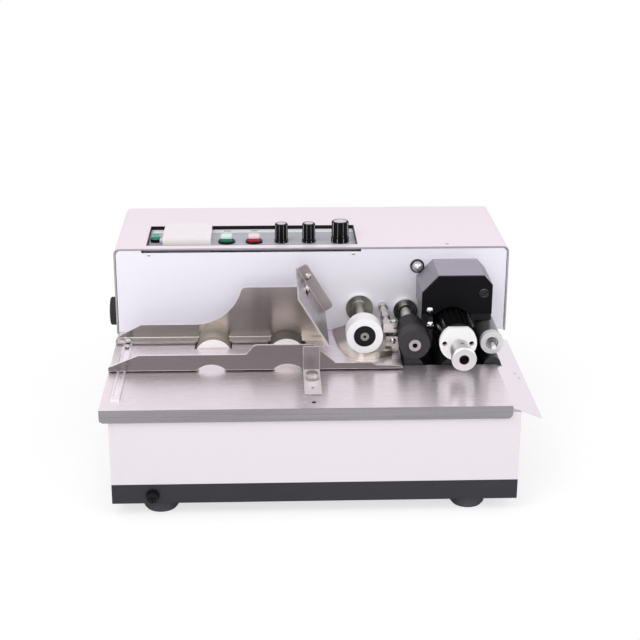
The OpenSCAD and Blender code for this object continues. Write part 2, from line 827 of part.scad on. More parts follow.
module power_rocker() color([0.15, 0.62, 0.45]) place() translate([switch_x, switch_y, rocker_z]) {
  half_w = switch_half[0] - cap_clear;
  barrel_r = switch_half[1] - cap_clear;
  key_half = barrel_r - 0.4;
  barrel_z = [-1.5, 2.1];
  key_z = [0.5, 4.7];
  dish_r = 11;
  dish_z = 14.5;
  intersection() {
    rotate([0, 90, 0]) translate([0, 0, -half_w]) cylinder(h = 2 * half_w, r = barrel_r);
    block([-half_w, -barrel_r, barrel_z[0]], [half_w, barrel_r, barrel_z[1]]);
  }
  rotate([rocker_tilt, 0, 0]) difference() {
    block([-half_w, -key_half, key_z[0]], [half_w, key_half, key_z[1]]);
    rotate([0, 90, 0]) translate([-dish_z, 0, -half_w - 1]) cylinder(h = 2 * half_w + 2, r = dish_r);
  }
}

module side_knob() color([0.25, 0.25, 0.27]) place()
  translate([left_x, side_knob_y, side_knob_z]) rotate([0, -90, 0]) {
    flutes = 28;
    flute_r = 1;
    lift = 0.4;
    edge = 1;
    dish = 0.8;
    dish_r = side_knob_r - 4;
    nut_r = 5;
    nut_t = 3.6;
    stem_z = -sheet_t - 4;
    difference() {
      union() {
        translate([0, 0, lift]) cylinder(h = side_knob_l - lift - edge, r = side_knob_r);
        translate([0, 0, side_knob_l - edge]) cylinder(h = edge, r1 = side_knob_r, r2 = side_knob_r - edge);
      }
      for (i = [0 : flutes - 1]) rotate(i * 360 / flutes)
        translate([side_knob_r + 0.4, 0, 4 * lift]) cylinder(h = side_knob_l, r = flute_r, $fn = 20);
      translate([0, 0, side_knob_l - dish]) cylinder(h = dish + 1, r = dish_r);
    }
    translate([0, 0, stem_z]) cylinder(h = edge - stem_z, r = side_shaft_r);
    translate([0, 0, stem_z]) cylinder(h = nut_t, r = nut_r);
  }

module machine_screws() color("lightgray") place() {
  for (x = slot_screw_x) translate([x, panel_face, slot_screw_z]) rotate([90, 0, 0])
    screw(1.6, 0.9, small_screw_r, sheet_t);
  translate([top_screw_x, top_screw_y, cabinet_top_z]) screw(2, 0.9, small_screw_r, sheet_t);
  translate([lock_x, ink_front - slide_gap, lock_z]) rotate([90, 0, 0])
    screw(3.2, 2.4, lock_r - run_fit, cover_t + 4);
  translate([head_plate_x + head_plate_w / 2, head_plate_y, head_screw_z]) rotate([90, 0, 0])
    screw(3.6, 3, head_screw_r, 4);
  translate([clamp_x, rail_screw_y, guide_z]) screw(3.2, 2.2, clamp_r, guide_t);
  translate([ink_x + 0.5, panel_face, ink_top - 7]) rotate([90, 0, 0]) dome_nut();
}

// Chrome dome nut on a round collar
module dome_nut() {
  r = 5.6;
  collar_h = 2;
  cylinder(h = collar_h, r = r);
  intersection() {
    translate([0, 0, collar_h + 0.2]) sphere(r - 0.4);
    cylinder(h = 2 * r, r = r);
  }
}

module fuse_holder() color([0.08, 0.08, 0.09]) place()
  translate([fuse_x, base_front_in, fuse_z]) rotate([90, 0, 0]) {
    nut_t = 2.2;
    body_l = 18;
    slot = [6.4, 1.2];
    difference() {
      union() {
        cylinder(h = nut_t, r = fuse_r, $fn = 8);
        cylinder(h = fuse_out, r = fuse_r * 0.8);
        translate([0, 0, -body_l]) cylinder(h = body_l, r = fuse_r * 0.7);
      }
      for (turn = [0, 90]) rotate(turn) translate([-slot[0] / 2, -slot[1] / 2, fuse_out - slot[1]])
        cube([slot[0], slot[1], slot[1] + 1]);
    }
  }

module power_inlet() color([0.07, 0.07, 0.08]) place() {
  flange = [24, 12];
  mouth = [12, 8];
  mouth_l = 14;
  body_l = 22;
  pin = [2, 10, 6.8];
  pin_spots = [[-7, -2], [0, 2], [7, -2]];
  screw_out = 20;
  screw_r = 1.7;
  outer = rear_y + inlet_out;
  difference() {
    union() {
      block([inlet_x - flange[0], rear_face, inlet_z - flange[1]],
        [inlet_x + flange[0], outer, inlet_z + flange[1]]);
      block([inlet_x - inlet_half[0], rear_face - body_l, inlet_z - inlet_half[1]],
        [inlet_x + inlet_half[0], rear_face + 0.1, inlet_z + inlet_half[1]]);
    }
    block([inlet_x - mouth[0], rear_face - mouth_l, inlet_z - mouth[1]],
      [inlet_x + mouth[0], outer + 1, inlet_z + mouth[1]]);
    for (side = [-1, 1]) rod(inlet_x + side * screw_out, inlet_z, rear_face - 1, outer + 1, screw_r);
  }
  for (spot = pin_spots)
    translate([inlet_x + spot[0] - pin[0] / 2, rear_face - mouth_l - 0.5, inlet_z + spot[1] - pin[2] / 2])
      cube(pin);
}

// Outline of the ink housing seen from the front, drawn in by an inset
module ink_outline(inset) {
  chamfer_in = inset * 0.45;
  polygon([
    [ink_x + inset, ink_side_z - 1],
    [ink_x + inset, ink_top - ink_chamfer[1] - chamfer_in],
    [ink_x + ink_chamfer[0] + chamfer_in, ink_top - inset],
    [ink_right - ink_right_chamfer[0] - chamfer_in, ink_top - inset],
    [ink_right - inset, ink_top - ink_right_chamfer[1] - chamfer_in],
    [ink_right - inset, ink_side_z - 1]
  ]);
}

module ink_housing() color([0.09, 0.09, 0.10]) place() {
  front = ink_front + cover_t;
  back = panel_face;
  floor_z = ink_side_z - 1;
  sill = ink_wall + 8;
  sill_h = 10;
  boss_r = 5.5;
  pin_front = ink_front - 1.2;
  cup_r = [4.4, 3.2];
  difference() {
    union() {
      difference() {
        slab(front, back) ink_outline(0);
        slab(front - 1, back - ink_wall) difference() {
          ink_outline(ink_wall);
          translate([ink_x, floor_z - 1]) square([sill, sill_h]);
        }
        block([ink_x + sill, front - 1, floor_z - 1],
          [ink_right - ink_wall, back - ink_wall, floor_z + 4]);
      }
      block([ink_right - foot_block_w + 0.6, front, ink_z], [ink_right, back, ink_side_z]);
      rod(pivot_x, pivot_z, front, back, boss_r);
      rod(ink_roll_x, ink_roll_z, front + 5, back, spindle_r);
      rod(pivot_x, pivot_z, pin_front, front + 1, pivot_r);
      difference() {
        rod(pivot_x, pivot_z, pin_front, ink_front - 0.2, cup_r[0]);
        rod(pivot_x, pivot_z, pin_front - 1, pin_front + 0.5, cup_r[1]);
      }
    }
    rod(print_x, print_z, front - 1, back + 1, print_r + pass_gap);
    rod(lock_x, lock_z, front - 1, front + 6, lock_r);
    rod(print_x, print_z, back - ink_wall - 1, back + 1, bush_r + 4);
  }
}

module ink_cover() color([0.07, 0.07, 0.08]) place() {
  round_r = 26;
  round_x = print_x - 3;
  round_z = ink_top - 22;
  raise = 0.5;
  hook_r = 1.9;
  hook_l = 14;
  lock_clear = 8;
  pivot_clear = 6;
  lean = 180 + atan2(lock_z - pivot_z, lock_x - pivot_x);
  difference() {
    union() {
      slab(ink_front, ink_front + cover_t - slide_gap) difference() {
        intersection() {
          ink_outline(0);
          translate([ink_x, ink_side_z]) square([ink_w, ink_h]);
        }
        translate([print_x, print_z]) circle(print_r + pass_gap);
        translate([lock_x, lock_z]) circle(hook_r);
        translate([lock_x, lock_z]) rotate(lean) translate([-hook_r, -hook_l]) square([2 * hook_r, hook_l]);
      }
      slab(ink_front - raise, ink_front + 1) intersection() {
        difference() {
          ink_outline(4);
          translate([print_x, print_z]) circle(print_r + 2 * pass_gap);
          translate([lock_x, lock_z]) circle(lock_clear);
          translate([pivot_x, pivot_z]) circle(pivot_clear);
        }
        translate([round_x, round_z]) circle(round_r);
        translate([ink_x, ink_side_z + 1]) square([ink_w, ink_h]);
      }
    }
    rod(pivot_x, pivot_z, ink_front - 1, ink_front + cover_t + 1, pivot_r + run_fit);
  }
}

module ink_roll() color([0.05, 0.05, 0.06]) place() {
  back = panel_y - ink_wall - 2;
  difference() {
    rod(ink_roll_x, ink_roll_z, ink_front + cover_t + 6, back, ink_roll_r);
    rod(ink_roll_x, ink_roll_z, ink_front, back + 1, spindle_r + run_fit);
  }
}

// Flange and bush of one shaft, on the front panel and into the inner frame
module bearing(x, z, flange_r, shaft_r) {
  front = panel_face - bearing_t;
  inner_r = flange_r * 0.56;
  nose = 1.6;
  ring_w = 1.8;
  ring_depth = 0.8;
  difference() {
    union() {
      rod(x, z, front, panel_face, flange_r);
      rod(x, z, front - nose, panel_face, inner_r);
      rod(x, z, panel_face, frame_rear, bush_r);
    }
    rod(x, z, front - 2 * nose, frame_rear + 1, shaft_r + run_fit);
    difference() {
      rod(x, z, front - 0.1, front + ring_depth, flange_r - ring_w);
      rod(x, z, front - 1, front + 2 * ring_depth, inner_r);
    }
  }
}

module shaft_bearings() color([0.45, 0.46, 0.44]) place() {
  separator_flange = 13.5;
  transport_flange = 11.8;
  print_flange = bush_r + 3;
  bearing(separator_x, separator_z, separator_flange, upper_shaft_r);
  bearing(transport_x, transport_z, transport_flange, upper_shaft_r);
  bearing(output_x, output_z, output_core_r, upper_shaft_r);
  bearing(print_x, print_z, print_flange, upper_shaft_r);
}

module paper_guide() color([0.84, 0.82, 0.78]) place() {
  t = 1.2;
  left = separator_x - 26;
  right = adjuster_leg_x - 0.5;
  crest = path_z - 0.6;
  crest_x = [separator_x - 10, separator_x + 12];
  sag = 1.4;
  front = separator_face - 4;
  back = panel_y - 0.2;
  skirt_back = panel_y - 20;
  top_line = [[left, table_z + t], [crest_x[0], crest], [crest_x[1], crest], [right, crest - sag]];
  under_line = [
    [right, table_z], [right - t, table_z], [right - t, crest - sag - t], [crest_x[1], crest - t],
    [crest_x[0] + 0.4, crest - t], [left + 2, table_z]
  ];
  intersection() {
    slab(front, back) polygon(concat([[left, table_z]], top_line, under_line));
    translate([0, 0, table_z - 1]) linear_extrude(path_rise + 2) paper_plan(left, right);
  }
  intersection() {
    slab(front, back) polygon(concat([[left, table_z]], top_line, [[right, table_z]]));
    translate([0, 0, table_z - 1]) linear_extrude(path_rise + 2) difference() {
      paper_plan(left, right);
      translate([0, 2 * t]) paper_plan(left, right);
      translate([left - 3, skirt_back]) square([right - left + 6, back - skirt_back + 10]);
    }
  }
}

// Plan of the paper guide: round in front under the separator wheel, wide at the cabinet
module paper_plan(left, right) {
  steps = 12;
  start = [left + 1, panel_y - 19];
  pull = [separator_x - 22, separator_face + 20];
  turn = [separator_x - 14, separator_face + 1];
  front = [separator_x + 3, separator_face + 2];
  bend = [separator_x + 14, separator_face + 3];
  stop = [right, separator_face + 13];
  polygon([
    [left - 2, panel_y + 5],
    for (i = [0 : steps]) let (t = i / steps, u = 1 - t)
      u * u * u * start + 3 * u * u * t * pull + 3 * u * t * t * turn + t * t * t * front,
    for (i = [1 : steps / 2]) let (t = 2 * i / steps, u = 1 - t)
      u * u * front + 2 * u * t * bend + t * t * stop,
    [right, panel_y + 5]
  ]);
}

module separator_adjuster() color([0.78, 0.77, 0.78]) place() {
  rod_x = separator_x + 23;
  rod_z = separator_z + 0.2;
  rod_r = 3.5;
  collar_r = 4.6;
  collar_l = 6;
  block_y = [panel_y - 60, panel_y - 49];
  collar_y = [block_y[1] + 13, panel_face - collar_l];
  block_x = [rod_x - 4, rod_x + 9.2];
  block_z = [rod_z - 4.2, rod_z + collar_r];
  split_x = rod_x + 5.6;
  split_half = 0.6;
  stem_half = 1.8;
  stem_y = block_y[0] + 4;
  bolt_x = rod_x + 3.6;
  pad_x = [bolt_x - 5, bolt_x + 6];
  pad_y = block_y[0] - 2;
  pad_d = 9.6;
  pad_top = path_z + 9.5;
  leg = [6.5, 1.6];
  rod(rod_x, rod_z, block_y[0] + 3, panel_face, rod_r);
  for (y = collar_y) rod(rod_x, rod_z, y, y + collar_l, collar_r);
  difference() {
    union() {
      block([block_x[0], block_y[0], block_z[0]], [block_x[1], block_y[1], block_z[1]]);
      rod(rod_x, rod_z, block_y[1] - 1, block_y[1] + 3, collar_r);
      block([bolt_x - stem_half, stem_y, pad_top - 1], [bolt_x + stem_half, stem_y + 2 * stem_half, rod_z]);
    }
    block([split_x, block_y[0] - 1, rod_z - split_half],
      [block_x[1] + 1, block_y[1] + 1, rod_z + split_half]);
  }
  translate([rod_x + 6, (block_y[0] + block_y[1]) / 2, block_z[1]]) screw(3.2, 2.6, 1.5, 1);
  block([pad_x[0], pad_y, path_z + 0.5], [pad_x[1], pad_y + pad_d, pad_top]);
  block([adjuster_leg_x, pad_y + 1, table_z], [adjuster_leg_x + leg[0], pad_y + 1 + leg[1], pad_top - 2]);
  translate([bolt_x + 1.5, pad_y, path_z + 5]) rotate([90, 0, 0]) screw(2.8, 1.8, 1.2, 1);
}

module head_bracket() color([0.16, 0.16, 0.17]) place() {
  low = path_z - 3.5;
  round_r = head_plate_w / 2;
  difference() {
    union() {
      block([head_plate_x, head_plate_y, low + round_r],
        [head_plate_x + head_plate_w, panel_face, ink_side_z - 1]);
      rod(head_plate_x + round_r, low + round_r, head_plate_y, panel_face, round_r);
    }
    rod(head_plate_x + round_r, head_screw_z, head_plate_y - 1, head_plate_y + 5, head_screw_r + run_fit);
  }
}

module drive_motor() color([0.35, 0.36, 0.38]) place() {
  half = 26;
  box_l = 28;
  box_end = motor_y + box_l;
  can_r = 25;
  can_l = min(54, rear_y - 10 - box_end);
  boss_r = 11;
  boss_l = 2;
  bore_l = 14;
  foot_z = foot_h + sheet_t;
  foot_t = 4;
  foot_out = half + 8;
  difference() {
    union() {
      block([print_x - half, motor_y, impression_z - half], [print_x + half, box_end, impression_z + half]);
      rod(print_x, impression_z, box_end, box_end + can_l, can_r);
      rod(print_x, impression_z, motor_y - boss_l, motor_y, boss_r);
    }
    rod(print_x, impression_z, motor_y - boss_l - 1, motor_y + bore_l, feed_shaft_r + run_fit);
  }
  block([print_x - foot_out, motor_y, foot_z], [print_x + foot_out, box_end, foot_z + foot_t]);
  for (x = [print_x - half, print_x + half - foot_t])
    block([x, motor_y, foot_z], [x + foot_t, box_end, impression_z - half + 1]);
}

module drive_belts() color([0.10, 0.10, 0.10]) place() {
  belt(0, [transport_x, transport_counter_z], [print_x, impression_z], counter_pulley, impression_pulley);
  belt(0, [feed_left_x, feed_z], [feed_right_x, feed_z], feed_pulley, feed_pulley);
  belt(1, [feed_right_x, feed_z], [transport_x, transport_counter_z], feed_pulley, counter_pulley);
  belt(1, [print_x, impression_z], [output_x, output_counter_z], impression_pulley, output_pulley);
}

module circuit_board() color([0.10, 0.35, 0.20]) place() {
  board = [110, 1.6, 50];
  x = left_x + 40;
  y = frame_rear + 8;
  z = table_z + 8;
  post_in = 6;
  post_r = 3;
  transformer = [38, 28.5, 32];
  capacitors = 4;
  capacitor_r = 4.5;
  capacitor_l = 14.5;
  capacitor_step = 11;
  face = y + board[1] - 0.1;
  translate([x, y, z]) cube(board);
  for (dx = [post_in, board[0] - post_in], dz = [post_in, board[2] - post_in])
    rod(x + dx, z + dz, frame_rear, y + 0.1, post_r);
  translate([x + 14, face, z + 12]) cube(transformer);
  for (i = [0 : capacitors - 1])
    rod(x + 66 + i * capacitor_step, z + 22, face, face + capacitor_l, capacitor_r);
}

// Wheel of rubber on a feed shaft
module feed_wheel(x) {
  difference() {
    rod(x, feed_z, feed_face_y, feed_back_y, feed_r);
    rod(x, feed_z, feed_face_y + wheel_wall, feed_back_y + 1, feed_shaft_r + press_fit);
  }
}

// Shaft of a feed wheel with its pulley
module feed_shaft(x) {
  collar_y = [frame_y - 4, frame_y - collar_gap];
  rod(x, feed_z, feed_face_y + wheel_wall, shaft_end, feed_shaft_r);
  rod(x, feed_z, collar_y[0], collar_y[1], feed_shaft_r + collar_step);
  pulley(x, feed_z, feed_pulley);
}

module feed_shaft_left() color("silver") place() feed_shaft(feed_left_x);
module feed_wheel_left() color([0.90, 0.89, 0.87]) place() feed_wheel(feed_left_x);
module feed_shaft_right() color("silver") place() feed_shaft(feed_right_x);
module feed_wheel_right() color([0.90, 0.89, 0.87]) place() feed_wheel(feed_right_x);

module separator_shaft() color([0.70, 0.69, 0.67]) place() {
  nose = 1.4;
  difference() {
    union() {
      rod(separator_x, separator_z, separator_face - nose, upper_shaft_end, upper_shaft_r);
      rod(separator_x, separator_z, frame_rear + collar_gap, collar_end, upper_shaft_r + collar_step);
      rod(separator_x, separator_z, separator_face + separator_w + 0.5,
        separator_face + separator_w + 8, upper_shaft_r + 1.4);
    }
    rod(separator_x, separator_z, separator_face - nose - 1, separator_face + 3, 1.3);
  }
}

module separator_hub() color([0.06, 0.06, 0.07]) place() difference() {
  rod(separator_x, separator_z, separator_face - 0.3, separator_face + separator_w + 0.5,
    separator_hub_r);
  rod(separator_x, separator_z, separator_face - 2, separator_face + separator_w + 2,
    upper_shaft_r + press_fit);
}

module separator_tyre() color([0.96, 0.96, 0.95]) place() difference() {
  rod(separator_x, separator_z, separator_face, separator_face + separator_w, separator_r);
  rod(separator_x, separator_z, separator_face - 1, separator_face + separator_w + 1,
    separator_hub_r + press_fit);
}

module transport_shaft() color([0.72, 0.72, 0.68]) place() difference() {
  union() {
    rod(transport_x, transport_z, transport_face - 2.6, panel_y - 9, transport_core_r);
    rod(transport_x, transport_z, panel_y - 10, upper_shaft_end, upper_shaft_r);
    rod(transport_x, transport_z, frame_rear + collar_gap, collar_end, upper_shaft_r + collar_step);
  }
  rod(transport_x, transport_z, transport_face - 4, transport_face + 6, 2.3);
}

module transport_rubber() color([0.17, 0.17, 0.19]) place() difference() {
  union() {
    rod(transport_x, transport_z, transport_face, transport_face + transport_front_l, transport_r);
    rod(transport_x, transport_z, transport_face + transport_front_l - 1, transport_face + transport_l,
      transport_r - 1.3);
  }
  rod(transport_x, transport_z, transport_face - 1, transport_face + transport_l + 1,
    transport_core_r + press_fit);
}

module transport_counter() color([0.30, 0.30, 0.31]) place() {
  rod(transport_x, transport_counter_z, window_front_y + pass_gap, roller_back, transport_counter_r);
  rod(transport_x, transport_counter_z, roller_back - 1, shaft_end, counter_shaft_r);
  pulley(transport_x, transport_counter_z, counter_pulley);
}

module print_drum() color([0.09, 0.09, 0.10]) place() {
  slot_w = 1.7;
  slot_depth = 1.3;
  difference() {
    rod(print_x, print_z, print_face + cap_t, roller_back - bearing_t - 1, print_r);
    for (i = [0 : type_slots - 1])
      translate([print_x, print_face + cap_t + 3, print_z]) rotate([0, i * 360 / type_slots, 0])
        translate([-slot_w / 2, 0, print_r - slot_depth]) cube([slot_w, print_reach, slot_depth + 1]);
  }
  rod(print_x, print_z, roller_back - bearing_t - 2, upper_shaft_end, upper_shaft_r);
  slab(gear_y, gear_y + gear_t) translate([print_x, print_z])
    gear_outline(print_gear_teeth, print_gear_r);
  rod(print_x, print_z, frame_rear + collar_gap, gear_y + 0.5, upper_shaft_r + collar_step);
}

module print_end_cap() color([0.97, 0.97, 0.96]) place() difference() {
  rod(print_x, print_z, print_face, print_face + cap_t, print_r);
  block([print_x - print_r, print_face - 1, print_z + print_r * 0.855],
    [print_x + print_r, print_face + cap_t + 1, print_z + print_r + 1]);
  for (side = [-1, 1]) rod(print_x + side * print_r * 0.72, print_z - 0.5, print_face - 1,
    print_face + cap_t + 1, 2.4);
}

module print_knob() color([0.88, 0.87, 0.87]) place() {
  tip = print_face - print_knob_l;
  rim_l = 6;
  grip_l = 20;
  grip_r = 9.6;
  rim_r = 11.2;
  neck_r = 5;
  edge = 1;
  bore_r = 4.3;
  bore_l = 14;
  pin_r = 1.5;
  difference() {
    union() {
      rod(print_x, print_z, tip + rim_l, print_face, neck_r);
      rod(print_x, print_z, tip + rim_l - edge, tip + rim_l + grip_l, grip_r);
      translate([print_x, tip, print_z]) rotate([-90, 0, 0]) rotate_extrude() polygon([
        [0, 0], [rim_r - edge, 0], [rim_r, edge], [rim_r, rim_l - edge], [rim_r - edge, rim_l], [0, rim_l]
      ]);
    }
    rod(print_x, print_z, tip - 1, tip + bore_l, bore_r);
    translate([print_x, tip + rim_l + grip_l / 2, print_z]) cylinder(h = grip_r + 1, r = pin_r);
  }
}

module impression_roller() color([0.20, 0.20, 0.21]) place() {
  rod(print_x, impression_z, window_front_y + pass_gap, roller_back, print_r);
  rod(print_x, impression_z, roller_back - 1, motor_y + 12, feed_shaft_r);
  pulley(print_x, impression_z, impression_pulley);
  slab(gear_y, gear_y + gear_t) translate([print_x, impression_z])
    rotate(180 / print_gear_teeth) gear_outline(print_gear_teeth, print_gear_r);
}

module output_ring() color([0.80, 0.80, 0.80]) place() difference() {
  rod(output_x, output_z, output_face, output_face + output_ring_l, output_r);
  rod(output_x, output_z, output_face - 1, output_face + output_ring_l - 3, output_bore);
  rod(output_x, output_z, output_face - 1, output_face + output_ring_l + 1, upper_shaft_r + press_fit);
}

module output_shaft() color([0.24, 0.24, 0.25]) place() {
  rod(output_x, output_z, output_face + 1, upper_shaft_end, upper_shaft_r);
  rod(output_x, output_z, output_face - output_pin_l, output_face + 2, output_pin_r);
  rod(output_x, output_z, output_face + output_ring_l + 0.5, roller_back - bearing_t - 12, output_core_r);
  rod(output_x, output_z, frame_rear + collar_gap, collar_end, upper_shaft_r + collar_step);
}

module output_counter() color([0.28, 0.28, 0.29]) place() {
  rod(output_x, output_counter_z, window_front_y + pass_gap, roller_back, output_counter_r);
  rod(output_x, output_counter_z, roller_back - 1, shaft_end, counter_shaft_r);
  pulley(output_x, output_counter_z, output_pulley);
}

// Frame of the stack stop: X down its slope, Z out of its upper face
module stop_frame() { translate([stop_x, 0, stop_z]) rotate([0, stop_slope, 0]) children(); }

// Rounded inside of a guide's bend along X, on its wall's face at y; side is -1 where the flange is in front
module inner_bend(left, right, y, side) {
  lap = 0.1;
  translate([left, y, guide_z + guide_t]) rotate([90, 0, 90]) linear_extrude(right - left)
    mirror([side < 0 ? 1 : 0, 0]) difference() {
      translate([-lap, -lap]) square(bend_r + lap);
      translate([bend_r, bend_r]) circle(bend_r);
    }
}

// Outline of the rear guide's wall in X and Z, before its slanted end is cut
module rear_wall_outline() {
  low_top = table_z + low_wall_h;
  high_top = table_z + rear_wall_h;
  corner = 6;
  rise = high_top - low_top - corner;
  sweep_x = tall_left - sqrt(pow(sweep_r, 2) - pow(sweep_r - rise, 2));
  ramp = 24;
  end_h = 2.2;
  end = rear_foot_end;
  difference() {
    union() {
      polygon([
        [table_left, guide_z], [table_left, guide_z + end_h], [table_left + ramp, low_top],
        [tall_left + 1, low_top], [tall_left + 1, guide_z]
      ]);
      translate([sweep_x, low_top - 1]) square([tall_left - sweep_x + 1, rise + 1]);
      translate([tall_left, guide_z]) square([end - tall_left, high_top - guide_z - corner]);
      translate([tall_left + corner, guide_z]) square([end - tall_left - corner, high_top - guide_z]);
      translate([tall_left + corner, high_top - corner]) circle(corner);
    }
    translate([sweep_x, low_top + sweep_r]) circle(sweep_r);
  }
}

module rear_guide() color([0.46, 0.43, 0.44]) place() {
  back = rear_wall_y + guide_t;
  flange_front = rear_wall_y - flange_w;
  pad_left = stop_x + 8;
  tab_l = 32;
  far = 60;
  difference() {
    union() {
      slab(rear_wall_y, back) rear_wall_outline();
      block([table_left, flange_front, guide_z + slide_gap],
        [rear_foot_end, rear_wall_y + 0.1, guide_z + guide_t]);
      inner_bend(table_left + bend_in, rear_foot_end, rear_wall_y, -1);
      block([pad_left, flange_front, table_z + slide_gap], [rear_foot_end, back, guide_z + guide_t]);
    }
    stop_frame() translate([-far, rear_wall_y - 1, -slide_gap - guide_t])
      cube([3 * far, guide_t + 2, far]);
    block([table_left - 1, rear_wall_y - 1, guide_z - 1],
      [rail_x + rail_w + 4, back + 1, guide_z + slide_gap]);
    feed_arches(flange_front - 1, back + 1, feed_z);
    translate([clamp_x, rear_wall_y - flange_w / 2, guide_z - 1])
      cylinder(h = guide_t + 3, r = clamp_r + run_fit);
  }
  stop_frame() difference() {
    translate([1, stop_tab_front, -slide_gap - guide_t])
      cube([tab_l, back - stop_tab_front, guide_t]);
    translate([stop_slot_s, stop_slot_y, -slide_gap - guide_t - 1])
      cylinder(h = guide_t + 2, r = clamp_r + run_fit);
  }
}

module rear_guide_screws() color("lightgray") place() {
  translate([clamp_x, rear_wall_y - flange_w / 2, guide_z + guide_t])
    screw(clamp_head[0], clamp_head[1], clamp_r, guide_t + 1.2);
  stop_frame() translate([stop_slot_s, stop_slot_y, guide_t])
    screw(stop_screw_head[0], stop_screw_head[1], clamp_r, 2 * guide_t + slide_gap + 2);
}

module stack_stop() color([0.74, 0.72, 0.75]) place() {
  corner = 4;
  width = stop_rear + guide_t - stop_front;
  slot_half = 2.2;
  slot_y = [stop_slot_y - stop_slot_l, stop_slot_y + 10.5];
  ear_s = [0.6 - stop_over, stop_l - 1];
  ear_screw_s = 9;
  stop_frame() {
    difference() {
      translate([-stop_over, stop_front, 0]) cube([stop_l + stop_over, width, guide_t - slide_gap]);
      for (y = slot_y) translate([stop_slot_s, y, -1]) cylinder(h = guide_t + 2, r = slot_half);
      block([stop_slot_s - slot_half, slot_y[0], -1], [stop_slot_s + slot_half, slot_y[1], guide_t + 1]);
    }
    translate([0, stop_rear + guide_t, 0]) rotate([90, 0, 0]) linear_extrude(guide_t) {
      translate([ear_s[0], 0]) square([ear_s[1] - ear_s[0], stop_flange - corner]);
      translate([ear_s[0] + corner, 0]) square([ear_s[1] - ear_s[0] - 2 * corner, stop_flange]);
      for (s = [ear_s[0] + corner, ear_s[1] - corner]) translate([s, stop_flange - corner]) circle(corner);
    }
    translate([ear_screw_s, stop_rear, stop_flange / 2]) rotate([90, 0, 0])
      screw(3.2, 1.8, 1.6, guide_t + 2);
  }
}

// Outline of the front guide's wall in X and Z: low at the left, an S-shaped rise beside the stack,
// then down to the level of the separator
module front_wall_outline() {
  low_top = table_z + front_low_h;
  rise = table_z + front_wall_h - low_top;
  end_h = 3.8;
  ramp = 28;
  step_x = tall_left + 15.5;
  step_l = 11;
  steps = 12;
  end_x = front_guide_end;
  fall_x = stop_x + 16;
  fall_l = 17;
  corner = 4;
  exit_z = guide_z + 6.2;
  tail_z = exit_z - 3.2;
  polygon([
    [table_left, guide_z], [table_left, guide_z + end_h], [table_left + ramp, low_top],
    for (i = [0 : steps])
      [step_x - step_l + step_l * i / steps, low_top + rise * (1 - cos(180 * i / steps)) / 2],
    [fall_x - corner, low_top + rise], [fall_x, low_top + rise - 0.9 * corner], [fall_x + fall_l, exit_z],
    [end_x - 29, exit_z], [end_x - 24, tail_z + 0.6], [end_x - 1.5, tail_z], [end_x, tail_z - 1.8],
    [end_x, guide_z]
  ]);
}

module front_guide() color([0.46, 0.43, 0.44]) place() {
  back = front_guide_y + guide_t;
  end_x = front_guide_end;
  difference() {
    union() {
      slab(front_guide_y, back) front_wall_outline();
      block([table_left, front_guide_y, guide_z + slide_gap],
        [end_x, front_guide_y + flange_w, guide_z + guide_t]);
      inner_bend(table_left + bend_in, end_x - bend_in, back, 1);
    }
    block([table_left - 1, front_guide_y - 1, guide_z - 1], [end_x + 1, back + 1, guide_z + slide_gap]);
    feed_arches(front_guide_y - 1, front_guide_y + flange_w + 1, guide_z + front_arch_h - arch_r);
    translate([clamp_x, front_guide_y + flange_w / 2, guide_z - 1])
      cylinder(h = guide_t + 3, r = clamp_r + run_fit);
  }
}

module guide_bracket() color([0.88, 0.87, 0.88]) place() {
  left = bracket_x - bracket_w / 2;
  right = bracket_x + bracket_w / 2;
  leg_front = front_guide_y - guide_t;
  foot_hole_r = 1.4;
  foot_hole_y = bracket_front + 13.6;
  difference() {
    union() {
      block([left, bracket_front, table_z + slide_gap], [right, front_guide_y, guide_z + slide_gap]);
      block([left, leg_front, table_z + slide_gap], [right, front_guide_y, table_z + front_wall_h - 1.5]);
    }
    translate([bracket_x, thumb_y, table_z - 1]) cylinder(h = guide_t + 3, r = thumb_r + run_fit);
    translate([bracket_x, foot_hole_y, table_z - 1]) cylinder(h = guide_t + 3, r = foot_hole_r);
  }
  translate([clamp_x, front_guide_y + flange_w / 2, guide_z + guide_t])
    screw(clamp_head[0], clamp_head[1], clamp_r, guide_t + 1.2);
}

module guide_thumbscrew() color([0.80, 0.79, 0.80]) place()
  translate([bracket_x, thumb_y, guide_z + 2 * slide_gap]) {
    grip_r = 5.6;
    grip_h = 5.4;
    knurls = 24;
    knurl_r = 0.5;
    nut_r = 4;
    nut_h = 4;
    nut_z = table_under - guide_z - 2 * slide_gap - nut_h - 0.2;
    difference() {
      union() {
        cylinder(h = grip_h, r = grip_r);
        cylinder(h = grip_h + 1, r = grip_r - 1);
        translate([0, 0, nut_z - 0.8]) cylinder(h = 1.8 - nut_z, r = thumb_r);
      }
      for (i = [0 : knurls - 1]) rotate(i * 360 / knurls)
        translate([grip_r + knurl_r / 2, 0, 0.8]) cylinder(h = grip_h, r = knurl_r, $fn = 16);
    }
    translate([0, 0, nut_z]) cylinder(h = nut_h, r = nut_r);
  }

